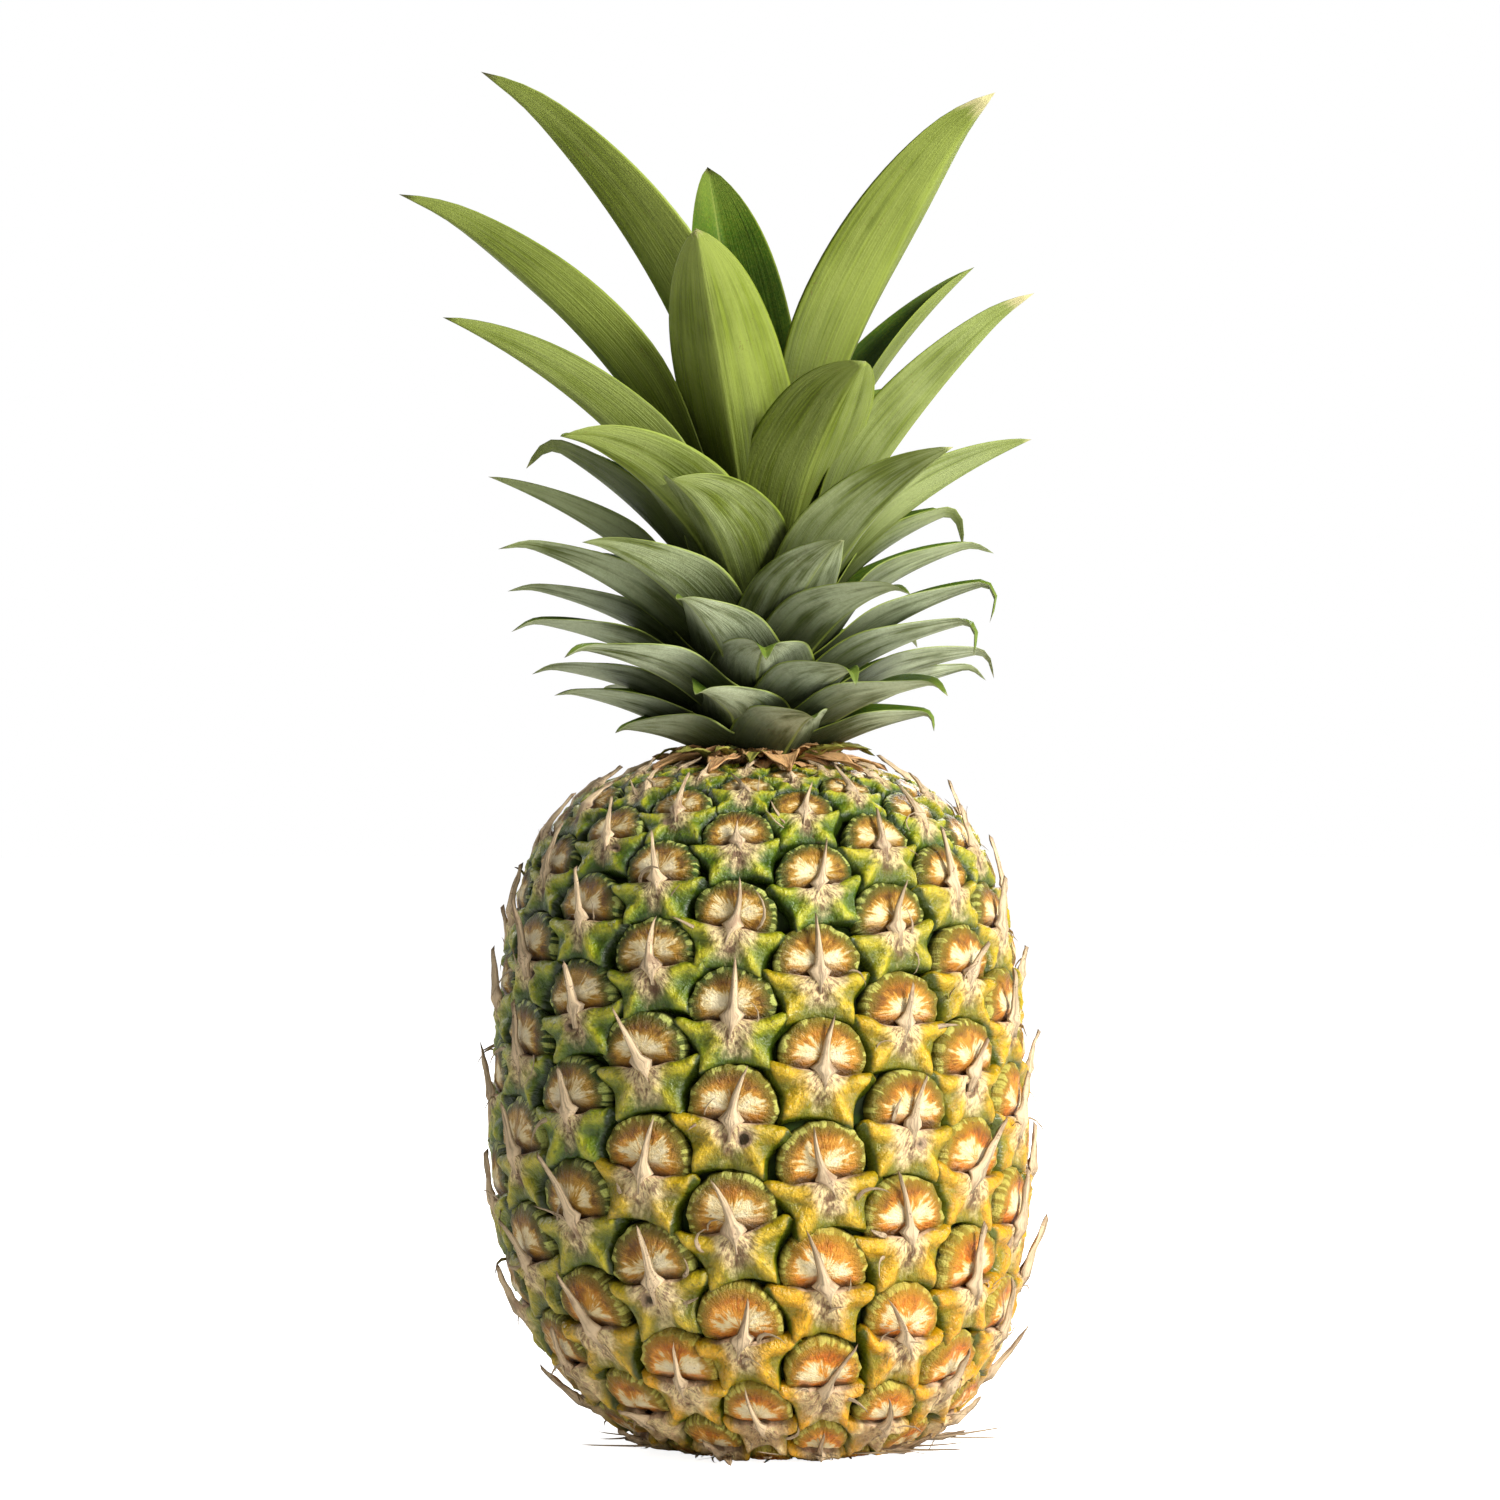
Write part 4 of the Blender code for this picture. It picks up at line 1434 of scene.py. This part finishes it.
class PINEAPPLE_OT_collar(bpy.types.Operator):
    """Add the dry bracts between fruit and crown"""

    bl_idname = "pineapple.collar"
    bl_label = "Collar"

    def execute(self, context):
        colours = context.scene.pineapple_colours
        finish = dry_finish(colours, "dry_collar", colours.collar, (0.50, 0.28, 0.12))
        for number, blade in enumerate(COLLAR, 1):
            node = f"collar_bract_{number:02d}"
            finish_piece(collar_mesh(blade, number), f"dry_{node}", finish, [node])
        dry = dry_finish(colours, "dry_scale", shade(colours.collar, 0.92), (0.36, 0.20, 0.08))
        green = dry_finish(colours, "green_scale", colours.fresh_scale, (0.30, 0.30, 0.07))
        bm = foot_scales(0, 66, 12 * MM, 3.6 * MM)
        finish_piece(bm, "foot_scales", dry, ["collar_bract_01"])
        bm = foot_scales(80, 13, 19 * MM, 7.0 * MM)
        finish_piece(bm, "green_scales", green, ["collar_bract_01"])
        return {"FINISHED"}


# The stage: a round floor that glows only to the camera, the sky's light, and the lights, each with its
# name, place in metres, size in metres and power in watts. The camera's lens and sensor are in mm.
FLOOR_RADIUS = 6.0
FLOOR_GLOW = 0.90
SKY_LIGHT = 0.18
LIGHTS = (
    ("key_light", (0.96, -0.76, 0.78), 0.32, 31.0),
    ("low_light", (0.70, -1.1, 0.10), 0.40, 4.5),
    ("rim_light", (-0.9, 0.7, 0.7), 0.5, 5.0),
    ("back_light", (0.30, 1.20, 0.70), 0.6, 14.0),
)
LIT_POINT = Vector((0.0, 0.0, 0.16))
CAMERA_PLACE = (-7.9 * MM, -1.1, 165.6 * MM)
FOCAL_LENGTH = 110.0
SENSOR_WIDTH = 36.0


class PINEAPPLE_OT_stage(bpy.types.Operator):
    """Add the floor, the light and the camera"""

    bl_idname = "pineapple.stage"
    bl_label = "Stage"

    def execute(self, context):
        scene = context.scene
        scene.view_settings.view_transform = "Standard"
        bm = bmesh.new()
        bmesh.ops.create_circle(bm, cap_ends=True, radius=FLOOR_RADIUS, segments=96)
        mesh = bpy.data.meshes.new("floor")
        bm.to_mesh(mesh)
        bm.free()
        finish = Finish("pale_floor")
        finish.sockets["Base Color"].default_value = linear(scene.pineapple_colours.floor)
        finish.sockets["Roughness"].default_value = 0.8
        finish.sockets["Emission Color"].default_value = WHITE
        seen = finish.node("ShaderNodeLightPath").outputs["Is Camera Ray"]
        finish.feed(finish.sockets["Emission Strength"], finish.times(seen, FLOOR_GLOW))
        mesh.materials.append(finish.material)
        floor = self.add(context, "floor", mesh)
        scene.world = bpy.data.worlds.new("studio")
        scene.world.use_nodes = True
        sky = Recipe(scene.world.node_tree)
        backdrop = sky.tree.nodes["Background"].inputs
        backdrop["Color"].default_value = WHITE
        seen = sky.node("ShaderNodeLightPath").outputs["Is Camera Ray"]
        sky.feed(backdrop["Strength"], sky.math("MULTIPLY_ADD", seen, 1.0 - SKY_LIGHT, SKY_LIGHT))
        for name, place, size, power in LIGHTS:
            lamp = bpy.data.lights.new(name, "AREA")
            lamp.size = size
            lamp.energy = power
            holder = self.add(context, name, lamp)
            holder.location = place
            aim = LIT_POINT - holder.location
            holder.rotation_euler = aim.to_track_quat("-Z", "Y").to_euler()
        lens = bpy.data.cameras.new("camera")
        lens.sensor_width = SENSOR_WIDTH
        lens.lens = FOCAL_LENGTH
        scene.camera = self.add(context, "camera", lens)
        scene.camera.location = CAMERA_PLACE
        scene.camera.rotation_euler = (math.radians(90), 0.0, 0.0)
        return {"FINISHED"}

    def add(self, context, name, data):
        """An object with the data, linked to the scene."""
        made = bpy.data.objects.new(name, data)
        context.scene.collection.objects.link(made)
        return made


PIECES = (
    PINEAPPLE_OT_rind,
    PINEAPPLE_OT_shields,
    PINEAPPLE_OT_bracts,
    PINEAPPLE_OT_spikes,
    PINEAPPLE_OT_wisps,
    PINEAPPLE_OT_stalk_scar,
    PINEAPPLE_OT_crown_stem,
    PINEAPPLE_OT_leaves,
    PINEAPPLE_OT_collar,
    PINEAPPLE_OT_stage,
)


class PINEAPPLE_PT_panel(bpy.types.Panel):
    """Lists the settings and the pieces in the sidebar"""

    bl_label = "Pineapple"
    bl_idname = "PINEAPPLE_PT_panel"
    bl_space_type = "VIEW_3D"
    bl_region_type = "UI"
    bl_category = "Pineapple"

    def draw(self, context):
        layout = self.layout
        for settings in (context.scene.pineapple_sizes, context.scene.pineapple_colours):
            for name in settings.__annotations__:
                layout.prop(settings, name)
        for operator in PIECES:
            layout.operator(operator.bl_idname)


CLASSES = (PineappleSizes, PineappleColours, *PIECES, PINEAPPLE_PT_panel)


def register():
    """Register the classes and hang the settings on the scene."""
    for item in CLASSES:
        bpy.utils.register_class(item)
    bpy.types.Scene.pineapple_sizes = PointerProperty(type=PineappleSizes)
    bpy.types.Scene.pineapple_colours = PointerProperty(type=PineappleColours)


def unregister():
    """Take the settings and the classes away again."""
    del bpy.types.Scene.pineapple_colours
    del bpy.types.Scene.pineapple_sizes
    for item in reversed(CLASSES):
        bpy.utils.unregister_class(item)


def main():
    register()
    for operator in PIECES:
        group, name = operator.bl_idname.split(".")
        getattr(getattr(bpy.ops, group), name)()


if __name__ == "__main__":
    main()
